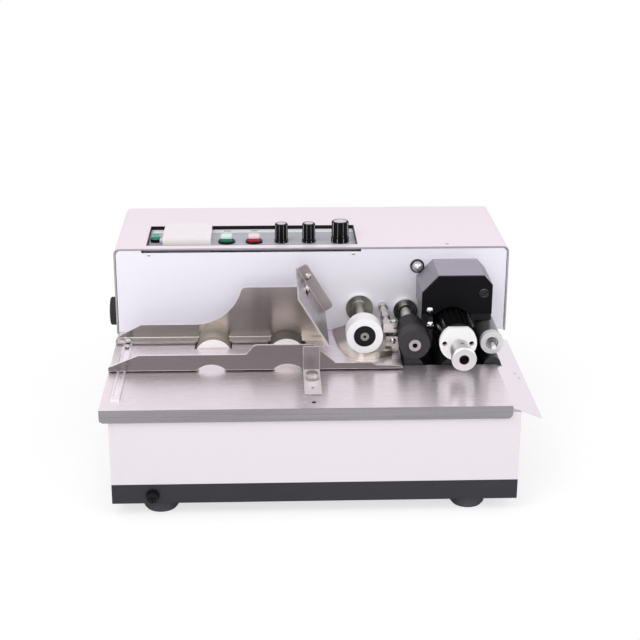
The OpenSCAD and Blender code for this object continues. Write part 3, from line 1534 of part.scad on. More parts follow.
rubber_feet();
base_plinth();
base_shell();
table_plate();
guide_rail();
exit_chute();
cabinet_cover();
front_panel();
rear_panel();
inner_frame();
control_panel();
panel_surround();
button_bezels();
counter_body();
counter_window();
counter_reset();
potentiometers();
machine_screws();
fuse_holder();
power_inlet();
ink_housing();
ink_cover();
ink_roll();
shaft_bearings();
paper_guide();
separator_adjuster();
head_bracket();
drive_motor();
drive_belts();
circuit_board();
power_rocker();
start_button();
stop_button();
speed_knob();
delay_knob();
heat_knob();
side_knob();
feed_shaft_left();
feed_wheel_left();
feed_shaft_right();
feed_wheel_right();
separator_shaft();
separator_hub();
separator_tyre();
transport_shaft();
transport_rubber();
transport_counter();
print_drum();
print_end_cap();
print_knob();
impression_roller();
output_ring();
output_shaft();
output_counter();
rear_guide();
rear_guide_screws();
stack_stop();
front_guide();
guide_bracket();
guide_thumbscrew();
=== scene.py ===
"""Looks of the desk-top batch coding machine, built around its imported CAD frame. Metres, +Z up."""

import math

import bpy
import bmesh
from mathutils import Matrix, Vector


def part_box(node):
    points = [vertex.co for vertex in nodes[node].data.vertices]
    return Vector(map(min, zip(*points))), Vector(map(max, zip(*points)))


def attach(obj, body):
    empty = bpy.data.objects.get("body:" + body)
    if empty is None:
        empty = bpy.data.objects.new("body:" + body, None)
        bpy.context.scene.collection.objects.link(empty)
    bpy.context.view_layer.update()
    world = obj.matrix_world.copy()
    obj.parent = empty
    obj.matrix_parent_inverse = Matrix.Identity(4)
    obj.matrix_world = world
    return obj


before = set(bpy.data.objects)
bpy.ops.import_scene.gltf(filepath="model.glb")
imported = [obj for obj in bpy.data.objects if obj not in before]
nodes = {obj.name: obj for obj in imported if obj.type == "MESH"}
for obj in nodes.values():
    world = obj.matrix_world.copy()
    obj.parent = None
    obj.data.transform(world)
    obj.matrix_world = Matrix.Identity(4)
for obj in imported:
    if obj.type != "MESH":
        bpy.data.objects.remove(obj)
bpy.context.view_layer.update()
scene = bpy.context.scene

MM = 0.001
UP = (0, 0, 1)
TO_FRONT = (0, -1, 0)
ACROSS_Y = (1.0, 0.0, 1.0)

# Camera of the photograph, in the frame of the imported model
CAMERA_PLACE = Vector((-0.0417, -1.2754, 0.5957))
CAMERA_YAW = 2.286
CAMERA_PITCH = 20.327
CAMERA_ROLL = 0.22
CAMERA_FOCAL = 79.07
SENSOR = 36.0
CLIP_NEAR = 0.05
CLIP_FAR = 50.0

# Light: a white room, a broad key from the upper left, a fill from the right and a low one in front
ROOM_STRENGTH = 0.60
KEY_POWER = 14.0
FILL_POWER = 6.0
FRONT_POWER = 4.0
WHITE = (1.0, 1.0, 1.0, 1.0)

# Floor: part of its white that the camera sees at full strength, while the rest carries the shadow,
# and the distances from the middle between which the shadow fades out
FLOOR_HALF = 12.0
FLOOR_COLOUR = (0.93, 0.93, 0.93)
FLOOR_GLOW = 0.69
FLOOR_SHADE = (0.36, 0.36, 0.37)
SHADOW_NEAR = 0.22
SHADOW_FAR = 0.42

# Range in which the values of a noise texture mostly lie, and the fine speckle of turned metal
NOISE_LOW = 0.3
NOISE_HIGH = 0.7
SPECKLE = 2600.0

# Part of a normal along an axis at which a face begins to look that way, and at which it fully does
FACE_LOW = 0.6
FACE_HIGH = 0.9

# Colour inputs and colour output of a mix node
MIX_INPUTS = (6, 7)
MIX_OUTPUT = 2

# Brushed metal: share of the broad clouds in its tone, and streaks and contrast of the darker tone
# painted as shade on its sides
CLOUD_SHARE = 0.35
ROLLED_STREAKS = (8, 1, 600)
ROLLED_CONTRAST = 0.12

# Where along its node a colour changes, as a share: step of the transport roller, behind which the
# rubber is darker as painted shade, and pale cap of a button
ROLLER_STEP = 17.5 / 47.0
BUTTON_CAP = 0.74
STEP_SOFT = 0.2 * MM

# Painted highlights up a knob's flutes: number, and the cosine at which a line begins and is full
KNOB_LINES = 9
LINE_EDGE = 0.88
LINE_CORE = 0.99

# Painted reflection of the feed wheels in the rear guide: half width, soft edge and height,
# and the height of the painted shade along the guide's foot
REFLECTION_HALF = 13.5 * MM
REFLECTION_SOFT = 2.5 * MM
REFLECTION_RISE = 40.0 * MM
FOOT_SHADE_RISE = 40.0 * MM

# How far brushed metal draws a reflection out
SMEAR = 0.9

# Painted highlight along the edges of the sheet pieces: reach, and how alike the eased and the flat
# normal are on flat and bent sheet
RIM_REACH = 0.8 * MM
RIM_FLAT = 0.99
RIM_BENT = 0.85

# Painted shade where other surfaces are near: how open the surface is where the dark begins and where it
# is full
NOOK_OPEN = 0.85
NOOK_DEEP = 0.25

# Rays for the painted edge highlight and the painted shade where surfaces are near
SHADE_SAMPLES = 8

# Soft borders of a patch and of a change in colour
PATCH_SOFT = 0.3 * MM
EDGE_SOFT = 0.1 * MM

# Dial round each knob
DIAL_TICKS = 11
DIAL_SWEEP = 300.0

# Angle in degrees between faces beyond which their edge is sharp
SHARP_ANGLE = 40.0


def middle(node):
    """Middle of the top face of a node's box."""
    low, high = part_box(node)
    return Vector(((low.x + high.x) / 2, (low.y + high.y) / 2, high.z))


# Steps of a material


def plug(tree, node, inputs):
    """Links each named input of a node where its value is a socket, and sets it where it is not."""
    for key, value in inputs.items():
        if isinstance(value, bpy.types.NodeSocket):
            tree.links.new(value, node.inputs[key])
        else:
            node.inputs[key].default_value = value


def add(tree, kind, inputs=None, **settings):
    """Adds a shader node of a kind, with its own settings and with values or links for its inputs."""
    node = tree.nodes.new("ShaderNode" + kind)
    for name, value in settings.items():
        setattr(node, name, value)
    plug(tree, node, inputs or {})
    return node


def new_material(name):
    """Material with a shader and an output; returns the material, its node tree and the shader."""
    mat = bpy.data.materials.new(name)
    mat.use_nodes = True
    tree = mat.node_tree
    tree.nodes.clear()
    shader = add(tree, "BsdfPrincipled")
    add(tree, "OutputMaterial", {"Surface": shader.outputs["BSDF"]})
    return mat, tree, shader


def surface(tree, kind, axis=None):
    """Place (Object) or direction (Normal) of the surface at rest, whole or along one axis."""
    vector = add(tree, "TexCoord").outputs[kind]
    if axis is None:
        return vector
    return add(tree, "SeparateXYZ", {"Vector": vector}).outputs[axis]


def noise(tree, scale, detail=3.0, rough=0.55):
    """Noise over the surface at rest; scale is one number, or one for each axis."""
    stretch = scale if isinstance(scale, tuple) else (scale, scale, scale)
    place = add(tree, "Mapping", {"Vector": surface(tree, "Object"), "Scale": stretch})
    inputs = {"Vector": place.outputs["Vector"], "Scale": 1.0, "Detail": detail, "Roughness": rough}
    return add(tree, "TexNoise", inputs).outputs["Fac"]


def ramp(tree, fac, dark, pale):
    """Colour from dark to pale by a noise signal."""
    node = add(tree, "ValToRGB", {"Fac": fac})
    stops = ((NOISE_LOW, dark), (NOISE_HIGH, pale))
    for element, (place, colour) in zip(node.color_ramp.elements, stops):
        element.position = place
        element.color = (*colour, 1.0)
    return node.outputs["Color"]


def tint(colour, share):
    """Colour made lighter or darker by a share."""
    return tuple(min(1.0, max(0.0, c * (1.0 + share))) for c in colour)


def mottled(tree, fac, colour, contrast):
    """Colour that a noise signal makes darker and lighter by a share."""
    return ramp(tree, fac, tint(colour, -contrast), tint(colour, contrast))


def spread(tree, fac, low, high):
    """Value from low to high by a noise signal."""
    inputs = {"From Min": NOISE_LOW, "From Max": NOISE_HIGH, "To Min": low, "To Max": high}
    return add(tree, "MapRange", {"Value": fac, **inputs}).outputs["Result"]


def uneven(tree, fac, rough, less=0.15, more=0.15):
    """Roughness that a noise signal lowers and raises by shares of itself."""
    return spread(tree, fac, rough * (1.0 - less), min(1.0, rough * (1.0 + more)))


def bump(tree, fac, strength, distance):
    """Normal of a surface raised by a noise signal."""
    inputs = {"Height": fac, "Strength": strength, "Distance": distance}
    return add(tree, "Bump", inputs).outputs["Normal"]


def mix(tree, fac, first, second):
    """Mix of two colours, each a socket or a plain colour, by a socket or a number."""
    node = add(tree, "Mix", {"Factor": fac}, data_type="RGBA")
    for slot, value in zip(MIX_INPUTS, (first, second)):
        plug(tree, node, {slot: (*value, 1.0) if isinstance(value, tuple) else value})
    return node.outputs[MIX_OUTPUT]


def between(tree, value, low, high, kind="SMOOTHSTEP"):
    """0 to 1 as a value goes from low to high, with soft ends unless the kind is LINEAR."""
    inputs = {"Value": value, "From Min": low, "From Max": high}
    return add(tree, "MapRange", inputs, interpolation_type=kind).outputs["Result"]


def sums(tree, operation, first, second=None):
    """One step of arithmetic on a socket and, where the step needs it, a socket or number."""
    inputs = {0: first} if second is None else {0: first, 1: second}
    return add(tree, "Math", inputs, operation=operation).outputs[0]


def times(tree, first, *others):
    """Product of shares."""
    for other in others:
        first = sums(tree, "MULTIPLY", first, other)
    return first


def vectors(tree, operation, first, second=None):
    """One step of arithmetic on vectors; a length or dot product comes back as a value."""
    inputs = {0: first} if second is None else {0: first, 1: second}
    node = add(tree, "VectorMath", inputs, operation=operation)
    return node.outputs["Value" if operation in ("LENGTH", "DOT_PRODUCT") else "Vector"]


def face_share(tree, axis, low=FACE_LOW, high=FACE_HIGH):
    """0 where the surface looks sideways, 1 where it looks along an axis of the part, either way."""
    size = sums(tree, "ABSOLUTE", surface(tree, "Normal", axis))
    return between(tree, size, low, high, "LINEAR")


# Kinds of material


def grain(axis, along=20, across=4000):
    """Noise scale of fine lines along an axis."""
    return tuple(along if axis == other else across for other in "XYZ")


def brushed(
    name, colour, rough, lines, contrast=0.03, metallic=1.0, gloss=0.5, smear=None, side=None, edge=None
):
    """Brushed sheet metal with a grain of fine lines.

    smear is the direction in which reflections are drawn out; side, where given, is a darker colour
    painted as shade on faces that look along Y, and edge a paler colour painted as a highlight on all
    other faces.
    """
    mat, tree, shader = new_material(name)
    fine = noise(tree, lines, rough=0.6)
    broad = noise(tree, scale=9.0, detail=2.0)
    streaked = mottled(tree, fine, colour, contrast)
    tone = mix(tree, CLOUD_SHARE, streaked, mottled(tree, broad, colour, contrast / 2))
    # Painted shade: faces that look along Y take the darker side tone
    if side:
        shaded_side_tone = mottled(tree, noise(tree, ROLLED_STREAKS), side, ROLLED_CONTRAST)
        tone = mix(tree, face_share(tree, "Y"), tone, shaded_side_tone)
    # Painted highlight: all faces that do not look along Y take the paler edge tone
    if edge:
        tone = mix(tree, face_share(tree, "Y"), edge, tone)
    plug(tree, shader, {
        "Base Color": tone,
        "Roughness": uneven(tree, fine, rough),
        "Normal": bump(tree, fine, strength=0.02, distance=0.05 * MM),
        "Metallic": metallic,
        "Specular IOR Level": gloss,
    })
    if smear:
        along = add(tree, "CombineXYZ", dict(enumerate(smear)))
        plug(tree, shader, {"Tangent": along.outputs[0], "Anisotropic": SMEAR})
    return mat


def painted(name, colour, rough, peel, contrast, strength=0.06, gloss=0.5, top=None, front=None):
    """Powder coat or moulded plastic: fine peel, faint clouds of tone.

    top is a colour for faces that look up or down, where given a paler one painted as light; front one
    for faces that look along Y.
    """
    mat, tree, shader = new_material(name)
    broad = noise(tree, scale=14.0)
    tone = mottled(tree, broad, colour, contrast)
    if top:
        tone = mix(tree, face_share(tree, "Z"), tone, top)
    if front:
        tone = mix(tree, face_share(tree, "Y"), tone, front)
    plug(tree, shader, {
        "Base Color": tone,
        "Roughness": uneven(tree, broad, rough),
        "Normal": bump(tree, noise(tree, peel), strength, distance=0.3 * MM),
        "Specular IOR Level": gloss,
    })
    return mat


def rubber(name, colour, rough=0.75, contrast=0.12, gloss=0.3):
    """Rubber: fine speckle and a dull, slightly uneven face."""
    mat, tree, shader = new_material(name)
    speck = noise(tree, scale=1600.0, detail=2.0)
    plug(tree, shader, {
        "Base Color": mottled(tree, noise(tree, scale=60.0), colour, contrast),
        "Roughness": uneven(tree, speck, rough, less=0.1),
        "Normal": bump(tree, speck, strength=0.12, distance=0.3 * MM),
        "Specular IOR Level": gloss,
    })
    return mat


def polished(name, colour, rough):
    """Bright metal with a faint fine speckle."""
    mat, tree, shader = new_material(name)
    speck = noise(tree, SPECKLE)
    plug(tree, shader, {
        "Base Color": ramp(tree, speck, dark=tint(colour, -0.05), pale=tint(colour, 0.04)),
        "Roughness": uneven(tree, speck, rough, more=0.25),
        "Metallic": 1.0,
    })
    return mat


def feed_wheel(name, dark, pale):
    """White wheel face with a worn tread between two tones."""
    mat, tree, shader = new_material(name)
    worn = noise(tree, scale=(30, 220, 30), detail=4.0)
    face = face_share(tree, "Y", low=0.5, high=0.8)
    face_white = (0.97, 0.96, 0.96)
    plug(tree, shader, {
        "Base Color": mix(tree, face, ramp(tree, worn, dark, pale), face_white),
        "Roughness": spread(tree, worn, low=0.42, high=0.66),
        "Normal": bump(tree, worn, strength=0.1, distance=0.4 * MM),
    })
    return mat


def clear_plastic(name, colour, side):
    """Hazy clear plastic; side is the colour of its upright faces, which show what it covers."""
    mat, tree, shader = new_material(name)
    haze = noise(tree, scale=90.0, detail=2.0)
    tone = ramp(tree, haze, dark=tint(colour, -0.03), pale=colour)
    plug(tree, shader, {
        "Base Color": mix(tree, face_share(tree, "Z"), side, tone),
        "Roughness": spread(tree, haze, low=0.04, high=0.10),
        "Transmission Weight": 0.04,
        "IOR": 1.3,
    })
    return mat


def drilled(name, colour, node, bore, inside, end):
    """Pale turned metal with a dark bore round its axis, painted shade for the depth of a hole; the axis
    runs along Y through the node's middle.

    end is the colour of the faces that look along the axis.
    """
    mat, tree, shader = new_material(name)
    low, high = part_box(node)
    axis = ((low.x + high.x) / 2, 0.0, (low.z + high.z) / 2)
    off = vectors(tree, "SUBTRACT", surface(tree, "Object"), axis)
    radius = vectors(tree, "LENGTH", vectors(tree, "MULTIPLY", off, ACROSS_Y))
    outside = between(tree, radius, bore, bore + EDGE_SOFT, "LINEAR")
    tone = mottled(tree, noise(tree, scale=(200, 1500, 200)), colour, contrast=0.05)
    tone = mix(tree, face_share(tree, "Y"), tone, end)
    plug(tree, shader, {
        "Base Color": mix(tree, outside, inside, tone),
        "Metallic": outside,
        "Roughness": 0.38,
    })
    return mat


def tipped(name, colour, tip, node, reach):
    """Dull turned metal whose front end, over a reach along Y, is bright."""
    mat, tree, shader = new_material(name)
    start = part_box(node)[0].y + reach
    behind = between(tree, surface(tree, "Object", "Y"), start, start + EDGE_SOFT, "LINEAR")
    speck = noise(tree, SPECKLE)
    plug(tree, shader, {
        "Base Color": mix(tree, behind, tip, mottled(tree, speck, colour, contrast=0.15)),
        "Roughness": spread(tree, speck, low=0.3, high=0.42),
        "Metallic": 0.7,
    })
    return mat


# Colours laid over part of a finished material: painted shade, highlights, reflections and bounce light,
# and plain colour over part of a node


def overlay(mat, share_of, colour):
    """Lays a colour over a material, by the share that a function of its node tree gives."""
    tree = mat.node_tree
    socket = tree.nodes["Principled BSDF"].inputs["Base Color"]
    tone = socket.links[0].from_socket
    tree.links.new(mix(tree, share_of(tree), tone, colour), socket)


def nook_shade(mat, reach, colour):
    """Painted shade: darkens a bright metal where other surfaces are near, in place of the dark it would
    mirror there.
    """
    def share(tree):
        near = add(tree, "AmbientOcclusion", {"Distance": reach}, samples=SHADE_SAMPLES)
        return between(tree, near.outputs["AO"], NOOK_OPEN, NOOK_DEEP)

    overlay(mat, share, colour)


def rim_highlight(mat, colour):
    """Painted highlight: pale line along the edges and bends of a sheet, where they would catch the
    light.
    """
    def share(tree):
        eased = add(tree, "Bevel", {"Radius": RIM_REACH}, samples=SHADE_SAMPLES).outputs["Normal"]
        flat = add(tree, "NewGeometry").outputs["True Normal"]
        return between(tree, vectors(tree, "DOT_PRODUCT", eased, flat), RIM_FLAT, RIM_BENT)

    overlay(mat, share, colour)


def bounce_light_backs(mat, colour):
    """Colours the faces of a sheet that look to the rear of the part, as painted light: a pale tone
    there throws more bounce light onto what stands behind.
    """
    def share(tree):
        return between(tree, surface(tree, "Normal", "Y"), FACE_LOW, FACE_HIGH)

    overlay(mat, share, colour)


def patch(mat, node, margin, colour):
    """Colours a material over the floor plan of a node's box, with a margin."""
    low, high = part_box(node)

    def share(tree):
        sides = []
        for axis, first, last in (("X", low.x, high.x), ("Y", low.y, high.y)):
            place = surface(tree, "Object", axis)
            sides.append(between(tree, place, first - margin - PATCH_SOFT, first - margin))
            sides.append(between(tree, place, last + margin + PATCH_SOFT, last + margin))
        return times(tree, *sides)

    overlay(mat, share, colour)


def band(mat, node, axis, start, soft, colour):
    """Colours a material beyond a share of a node's box along an axis."""
    low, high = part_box(node)
    index = "XYZ".index(axis)
    first = low[index] + start * (high[index] - low[index])

    def share(tree):
        return between(tree, surface(tree, "Object", axis), first - soft, first + soft)

    overlay(mat, share, colour)


def flute_highlights(mat, node, count, colour):
    """Painted highlights: thin light lines up the sides of an upright knob, evenly spaced round it."""
    centre = middle(node)
    sloping, upright = 0.5, 0.2

    def share(tree):
        across = sums(tree, "SUBTRACT", surface(tree, "Object", "X"), centre.x)
        along = sums(tree, "SUBTRACT", surface(tree, "Object", "Y"), centre.y)
        turn = times(tree, sums(tree, "ARCTAN2", across, along), float(count))
        line = between(tree, sums(tree, "COSINE", turn), LINE_EDGE, LINE_CORE)
        side = between(tree, face_share(tree, "Z", low=0.0, high=1.0), sloping, upright)
        return times(tree, line, side)

    overlay(mat, share, colour)


def knob_black(node):
    """Black knob with painted highlights in some of its flutes."""
    mat = painted(node + "_black", (0.004, 0.004, 0.005), 0.4, 1200.0, 0.12, gloss=0.12)
    flute_highlights(mat, node, KNOB_LINES, (0.40, 0.385, 0.40))
    return mat


def foot_shade(tree):
    """Share of the painted shade along the foot of a guide's wall, full at the table and gone at a
    height above it.
    """
    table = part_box("table_plate")[1].z
    foot = between(tree, surface(tree, "Object", "Z"), table + FOOT_SHADE_RISE, table)
    return times(tree, foot, face_share(tree, "Y"))


def wheel_reflection(wheel, open_end):
    """Share of a wheel's painted reflection, blurred, on the wall behind it; an open one goes on to the
    right.
    """
    top = middle(wheel)

    def share(tree):
        off = sums(tree, "SUBTRACT", surface(tree, "Object", "X"), top.x)
        if not open_end:
            off = times(tree, sums(tree, "ABSOLUTE", off), -1.0)
        column = between(tree, off, -REFLECTION_HALF - REFLECTION_SOFT, -REFLECTION_HALF + REFLECTION_SOFT)
        fade = between(tree, surface(tree, "Object", "Z"), top.z + REFLECTION_RISE, top.z - REFLECTION_SOFT)
        return times(tree, column, fade, face_share(tree, "Y"))

    return share


# Materials of the part: each has a name, its colours and what its kind of material asks for

INK_BLACK = (0.0035, 0.0033, 0.0045)
TABLE_TONE = (0.85, 0.768, 0.81)
WHEEL_REFLECTION_TONE = (0.62, 0.55, 0.48)

case_steel = brushed("case_steel", (0.78, 0.73, 0.772), 0.4, grain("Z", across=3000), 0.012, 0.12)
# Painted shade: the cover's faces that look along Y are dark grey with little gloss, standing for the
# shadowed seam
cover_steel = brushed(
    "cover_steel", (0.95, 0.835, 0.92), 0.4, grain("Z", across=3000), 0.012, 0.12,
    gloss=0.1, side=(0.42, 0.41, 0.425),
)
panel_steel = brushed("panel_steel", (0.885, 0.872, 0.945), 0.4, grain("X", across=3000), 0.012, 0.12)
# Painted shade: the table's front lip takes a darker side tone than its top
table_steel = brushed(
    "table_steel", TABLE_TONE, 0.27, grain("X"), smear=(0, 1, 0), side=(0.315, 0.300, 0.320)
)
# Painted shade on the table where other surfaces are near
nook_shade(table_steel, 3.0 * MM, (0.09, 0.085, 0.085))
# Takes the painted shade off the table again under and round the rear guide, back to its plain tone
patch(table_steel, "rear_guide", 3.0 * MM, TABLE_TONE)
patch(table_steel, "guide_rail", 0.0, (0.97, 0.90, 0.95))
rail_steel = brushed("rail_steel", (0.90, 0.82, 0.87), 0.34, grain("Y"), metallic=0.6)
chute_steel = brushed("chute_steel", (0.82, 0.745, 0.81), 0.34, grain("Y"))
# Painted highlight: the rear guide's faces that do not look along Y take a pale tone
rear_steel = brushed(
    "rear_steel", (0.34, 0.30, 0.30), 0.24, grain("X"), smear=(0, 0, 1), edge=(0.90, 0.86, 0.84)
)
# Painted shade low on the rear guide's wall
overlay(rear_steel, foot_shade, (0.17, 0.155, 0.15))
# Painted reflections of the feed wheels on the rear guide's wall
overlay(rear_steel, wheel_reflection("feed_wheel_left", open_end=False), WHEEL_REFLECTION_TONE)
overlay(rear_steel, wheel_reflection("feed_wheel_right", open_end=True), WHEEL_REFLECTION_TONE)
# Painted highlight along the rear guide's edges and bends
rim_highlight(rear_steel, (0.92, 0.88, 0.86))
# Painted light: the rear guide's faces that look to the rear are pale, to throw bounce light onto the
# front panel
bounce_light_backs(rear_steel, (0.95, 0.93, 0.95))
# Painted shade: the front guide has the rear guide's steel with a darker base tone; painted highlight on
# its faces that do not look along Y
shaded_front_steel = brushed(
    "shaded_front_steel", (0.155, 0.14, 0.142), 0.26, grain("X"), smear=(0, 0, 1), edge=(0.86, 0.83, 0.83)
)
# Painted highlight along the front guide's edges and bends
rim_highlight(shaded_front_steel, (0.90, 0.86, 0.87))
stop_steel = brushed("stop_steel", (0.40, 0.365, 0.375), 0.28, grain("Y"))
# Painted highlight along the stop's edges and bend
rim_highlight(stop_steel, (0.94, 0.90, 0.91))
# Painted highlight: the bracket's faces that do not look along Y, its foot's top among them, take a pale
# tone
bracket_steel = brushed(
    "bracket_steel", (0.22, 0.20, 0.205), 0.3, grain("Y"), metallic=0.3, edge=(0.84, 0.78, 0.80)
)
# Painted highlight along the bracket's edges and bends
rim_highlight(bracket_steel, (0.90, 0.86, 0.88))
paper_steel = brushed("paper_steel", (0.84, 0.79, 0.70), 0.34, grain("X"))
# Painted shade: the rear part of the paper guide is darker
band(paper_steel, "paper_guide", "Y", 0.45, 8.0 * MM, (0.36, 0.31, 0.29))
# Painted highlight: the bearings' faces that do not look along Y take a pale tone
bearing_steel = brushed(
    "bearing_steel", (0.25, 0.25, 0.24), 0.24, (900, 900, 900), 0.12, edge=(0.82, 0.82, 0.77)
)
dark_metal = brushed("dark_metal", (0.020, 0.020, 0.022), 0.45, grain("Y", 60), 0.15, 0.5)
drum_metal = brushed("drum_metal", (0.022, 0.022, 0.023), 0.2, grain("Y", 60), 0.15, 0.85)
motor_metal = brushed("motor_metal", (0.20, 0.21, 0.22), 0.4, grain("Y", 60), 0.08)
alloy = brushed("alloy", (0.55, 0.55, 0.56), 0.4, grain("X", 60), 0.06)

bright_steel = polished("bright_steel", (0.60, 0.57, 0.56), 0.24)
# Painted shade where other surfaces are near
nook_shade(bright_steel, 6.0 * MM, (0.05, 0.045, 0.04))
shaft_steel = polished("shaft_steel", (0.50, 0.48, 0.45), 0.26)
chrome = polished("chrome", (0.60, 0.58, 0.58), 0.16)
# Painted shade where other surfaces are near
nook_shade(chrome, 2.5 * MM, (0.05, 0.05, 0.05))
# Painted shade: each dark bore below stands for the depth of a hole
knob_metal = drilled(
    "knob_metal", (0.80, 0.79, 0.79), "print_knob",
    bore=4.5 * MM, inside=(0.045, 0.022, 0.018), end=(0.66, 0.65, 0.66),
)
separator_steel = drilled(
    "separator_steel", (0.62, 0.60, 0.56), "separator_shaft",
    bore=1.3 * MM, inside=(0.02, 0.02, 0.02), end=(0.26, 0.25, 0.24),
)
transport_steel = drilled(
    "transport_steel", (0.70, 0.68, 0.65), "transport_shaft",
    bore=2.3 * MM, inside=(0.03, 0.02, 0.015), end=(0.38, 0.365, 0.37),
)
output_steel = tipped("output_steel", (0.20, 0.197, 0.212), (0.85, 0.84, 0.84), "output_shaft", 9.0 * MM)

plinth_paint = painted("plinth_paint", (0.028, 0.027, 0.034), 0.5, 500.0, 0.10, gloss=0.3)
# Painted light: the hood's top faces take a paler tone
hood_paint = painted(
    "hood_paint", (0.235, 0.220, 0.250), 0.42, 900.0, 0.05,
    gloss=0.35, top=(0.36, 0.33, 0.40), front=INK_BLACK,
)
ink_paint = painted("ink_paint", INK_BLACK, 0.45, 900.0, 0.15, gloss=0.10)
black_plastic = painted("black_plastic", (0.006, 0.006, 0.007), 0.4, 1200.0, 0.12, gloss=0.16)
panel_plate = painted("panel_plate", (0.46, 0.46, 0.52), 0.4, 600.0, 0.04)
ivory_plastic = painted("ivory_plastic", (0.90, 0.83, 0.78), 0.4, 900.0, 0.03)
white_plastic = painted("white_plastic", (0.90, 0.90, 0.90), 0.42, 900.0, 0.03)
green_plastic = painted("green_plastic", (0.035, 0.26, 0.17), 0.25, 1200.0, 0.10, strength=0.04)
band(green_plastic, "start_button", "Z", BUTTON_CAP, STEP_SOFT, (0.74, 0.90, 0.88))
red_plastic = painted("red_plastic", (0.60, 0.035, 0.075), 0.25, 1200.0, 0.10, strength=0.04)
band(red_plastic, "stop_button", "Z", BUTTON_CAP, STEP_SOFT, (0.94, 0.74, 0.80))
rocker_plastic = painted("rocker_plastic", (0.04, 0.42, 0.27), 0.25, 1200.0, 0.10)
blue_plastic = painted("blue_plastic", (0.58, 0.63, 0.80), 0.25, 1200.0, 0.08)
grip_plastic = painted("grip_plastic", (0.035, 0.035, 0.042), 0.55, 700.0, 0.12, gloss=0.2)
board_green = painted("board_green", (0.02, 0.12, 0.05), 0.4, 900.0, 0.2)

foot_rubber = rubber("foot_rubber", (0.070, 0.066, 0.078))
belt_rubber = rubber("belt_rubber", (0.02, 0.02, 0.02))
roller_rubber = rubber("roller_rubber", (0.036, 0.034, 0.039), 0.55, gloss=0.25)
# Painted shade: the rubber behind the step is darker
band(roller_rubber, "transport_rubber", "Y", ROLLER_STEP, STEP_SOFT, (0.010, 0.009, 0.011))
felt = rubber("felt", (0.012, 0.012, 0.012), 0.9)
white_rubber = rubber("white_rubber", (0.90, 0.895, 0.92), 0.6, 0.02)
grey_rubber = rubber("grey_rubber", (0.66, 0.66, 0.67), 0.5, 0.05)
# Painted light and shade: the two feed wheels are one part, the left one given a paler tread and the
# right one a darker tread
lit_left_wheel = feed_wheel("lit_left_wheel", (0.22, 0.19, 0.16), (0.40, 0.36, 0.32))
shaded_right_wheel = feed_wheel("shaded_right_wheel", (0.07, 0.06, 0.055), (0.13, 0.115, 0.10))
clear = clear_plastic("clear_plastic", (1.0, 0.915, 0.975), (0.99, 0.945, 0.92))

FINISH = {
    case_steel: ["base_shell", "rear_panel"],
    cover_steel: ["cabinet_cover"],
    panel_steel: ["front_panel"],
    table_steel: ["table_plate"],
    rail_steel: ["guide_rail"],
    chute_steel: ["exit_chute"],
    rear_steel: ["rear_guide"],
    shaded_front_steel: ["front_guide"],
    stop_steel: ["stack_stop"],
    bracket_steel: ["guide_bracket"],
    paper_steel: ["paper_guide"],
    bright_steel: ["separator_adjuster", "guide_thumbscrew"],
    knob_metal: ["print_knob"],
    shaft_steel: ["feed_shaft_left", "feed_shaft_right"],
    separator_steel: ["separator_shaft"],
    transport_steel: ["transport_shaft"],
    chrome: ["machine_screws", "rear_guide_screws"],
    bearing_steel: ["shaft_bearings"],
    plinth_paint: ["base_plinth"],
    hood_paint: ["ink_housing"],
    ink_paint: ["ink_cover"],
    black_plastic: ["panel_surround", "button_bezels", "fuse_holder", "power_inlet", "separator_hub"],
    knob_black("speed_knob"): ["speed_knob"],
    knob_black("delay_knob"): ["delay_knob"],
    knob_black("heat_knob"): ["heat_knob"],
    dark_metal: ["head_bracket", "impression_roller", "transport_counter", "output_counter"],
    drum_metal: ["print_drum"],
    output_steel: ["output_shaft"],
    panel_plate: ["control_panel"],
    ivory_plastic: ["counter_body"],
    white_plastic: ["print_end_cap"],
    green_plastic: ["start_button"],
    rocker_plastic: ["power_rocker"],
    red_plastic: ["stop_button"],
    blue_plastic: ["counter_reset"],
    grip_plastic: ["side_knob"],
    board_green: ["circuit_board"],
    motor_metal: ["drive_motor"],
    alloy: ["inner_frame", "potentiometers"],
    foot_rubber: ["rubber_feet"],
    belt_rubber: ["drive_belts"],
    roller_rubber: ["transport_rubber"],
    felt: ["ink_roll"],
    white_rubber: ["separator_tyre"],
    grey_rubber: ["output_ring"],
    lit_left_wheel: ["feed_wheel_left"],
    shaded_right_wheel: ["feed_wheel_right"],
    clear: ["counter_window"],
}


def dress(obj, mat):
    """Gives an object one material."""
    obj.data.materials.clear()
    obj.data.materials.append(mat)


for mat, names in FINISH.items():
    for name in names:
        dress(nodes[name], mat)


# Small pieces that the frame leaves to the looks


def piece(name, form, mat, body, smooth=True):
    """Object from a bmesh form, dressed with a material and riding on a body."""
    mesh = bpy.data.meshes.new(name)
    bmesh.ops.recalc_face_normals(form, faces=form.faces)
    form.to_mesh(mesh)
    form.free()
    obj = bpy.data.objects.new(name, mesh)
    scene.collection.objects.link(obj)
    dress(obj, mat)
    if smooth:
        for polygon in mesh.polygons:
            polygon.use_smooth = True
        mesh.set_sharp_from_angle(angle=math.radians(SHARP_ANGLE))
    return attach(obj, body)


def turned(form, profile, place, toward, steps=48, hollow=False):
    """Adds a turned solid to a form: (radius, height) profile, turned about a direction at a place.

    A hollow one joins its last ring to its first.
    """
    turn = Vector(UP).rotation_difference(Vector(toward)).to_matrix()
    rings = []
    for radius, height in profile:
        ring = []
        for i in range(steps):
            angle = 2 * math.pi * i / steps
            spot = Vector((radius * math.cos(angle), radius * math.sin(angle), height))
            ring.append(form.verts.new(Vector(place) + turn @ spot))
        rings.append(ring)
    pairs = list(zip(rings, rings[1:]))
    if hollow:
        pairs.append((rings[-1], rings[0]))
    else:
        form.faces.new(rings[0])
        form.faces.new(rings[-1])
    for low, high in pairs:
        for i in range(steps):
            j = (i + 1) % steps
            form.faces.new((low[i], low[j], high[j], high[i]))


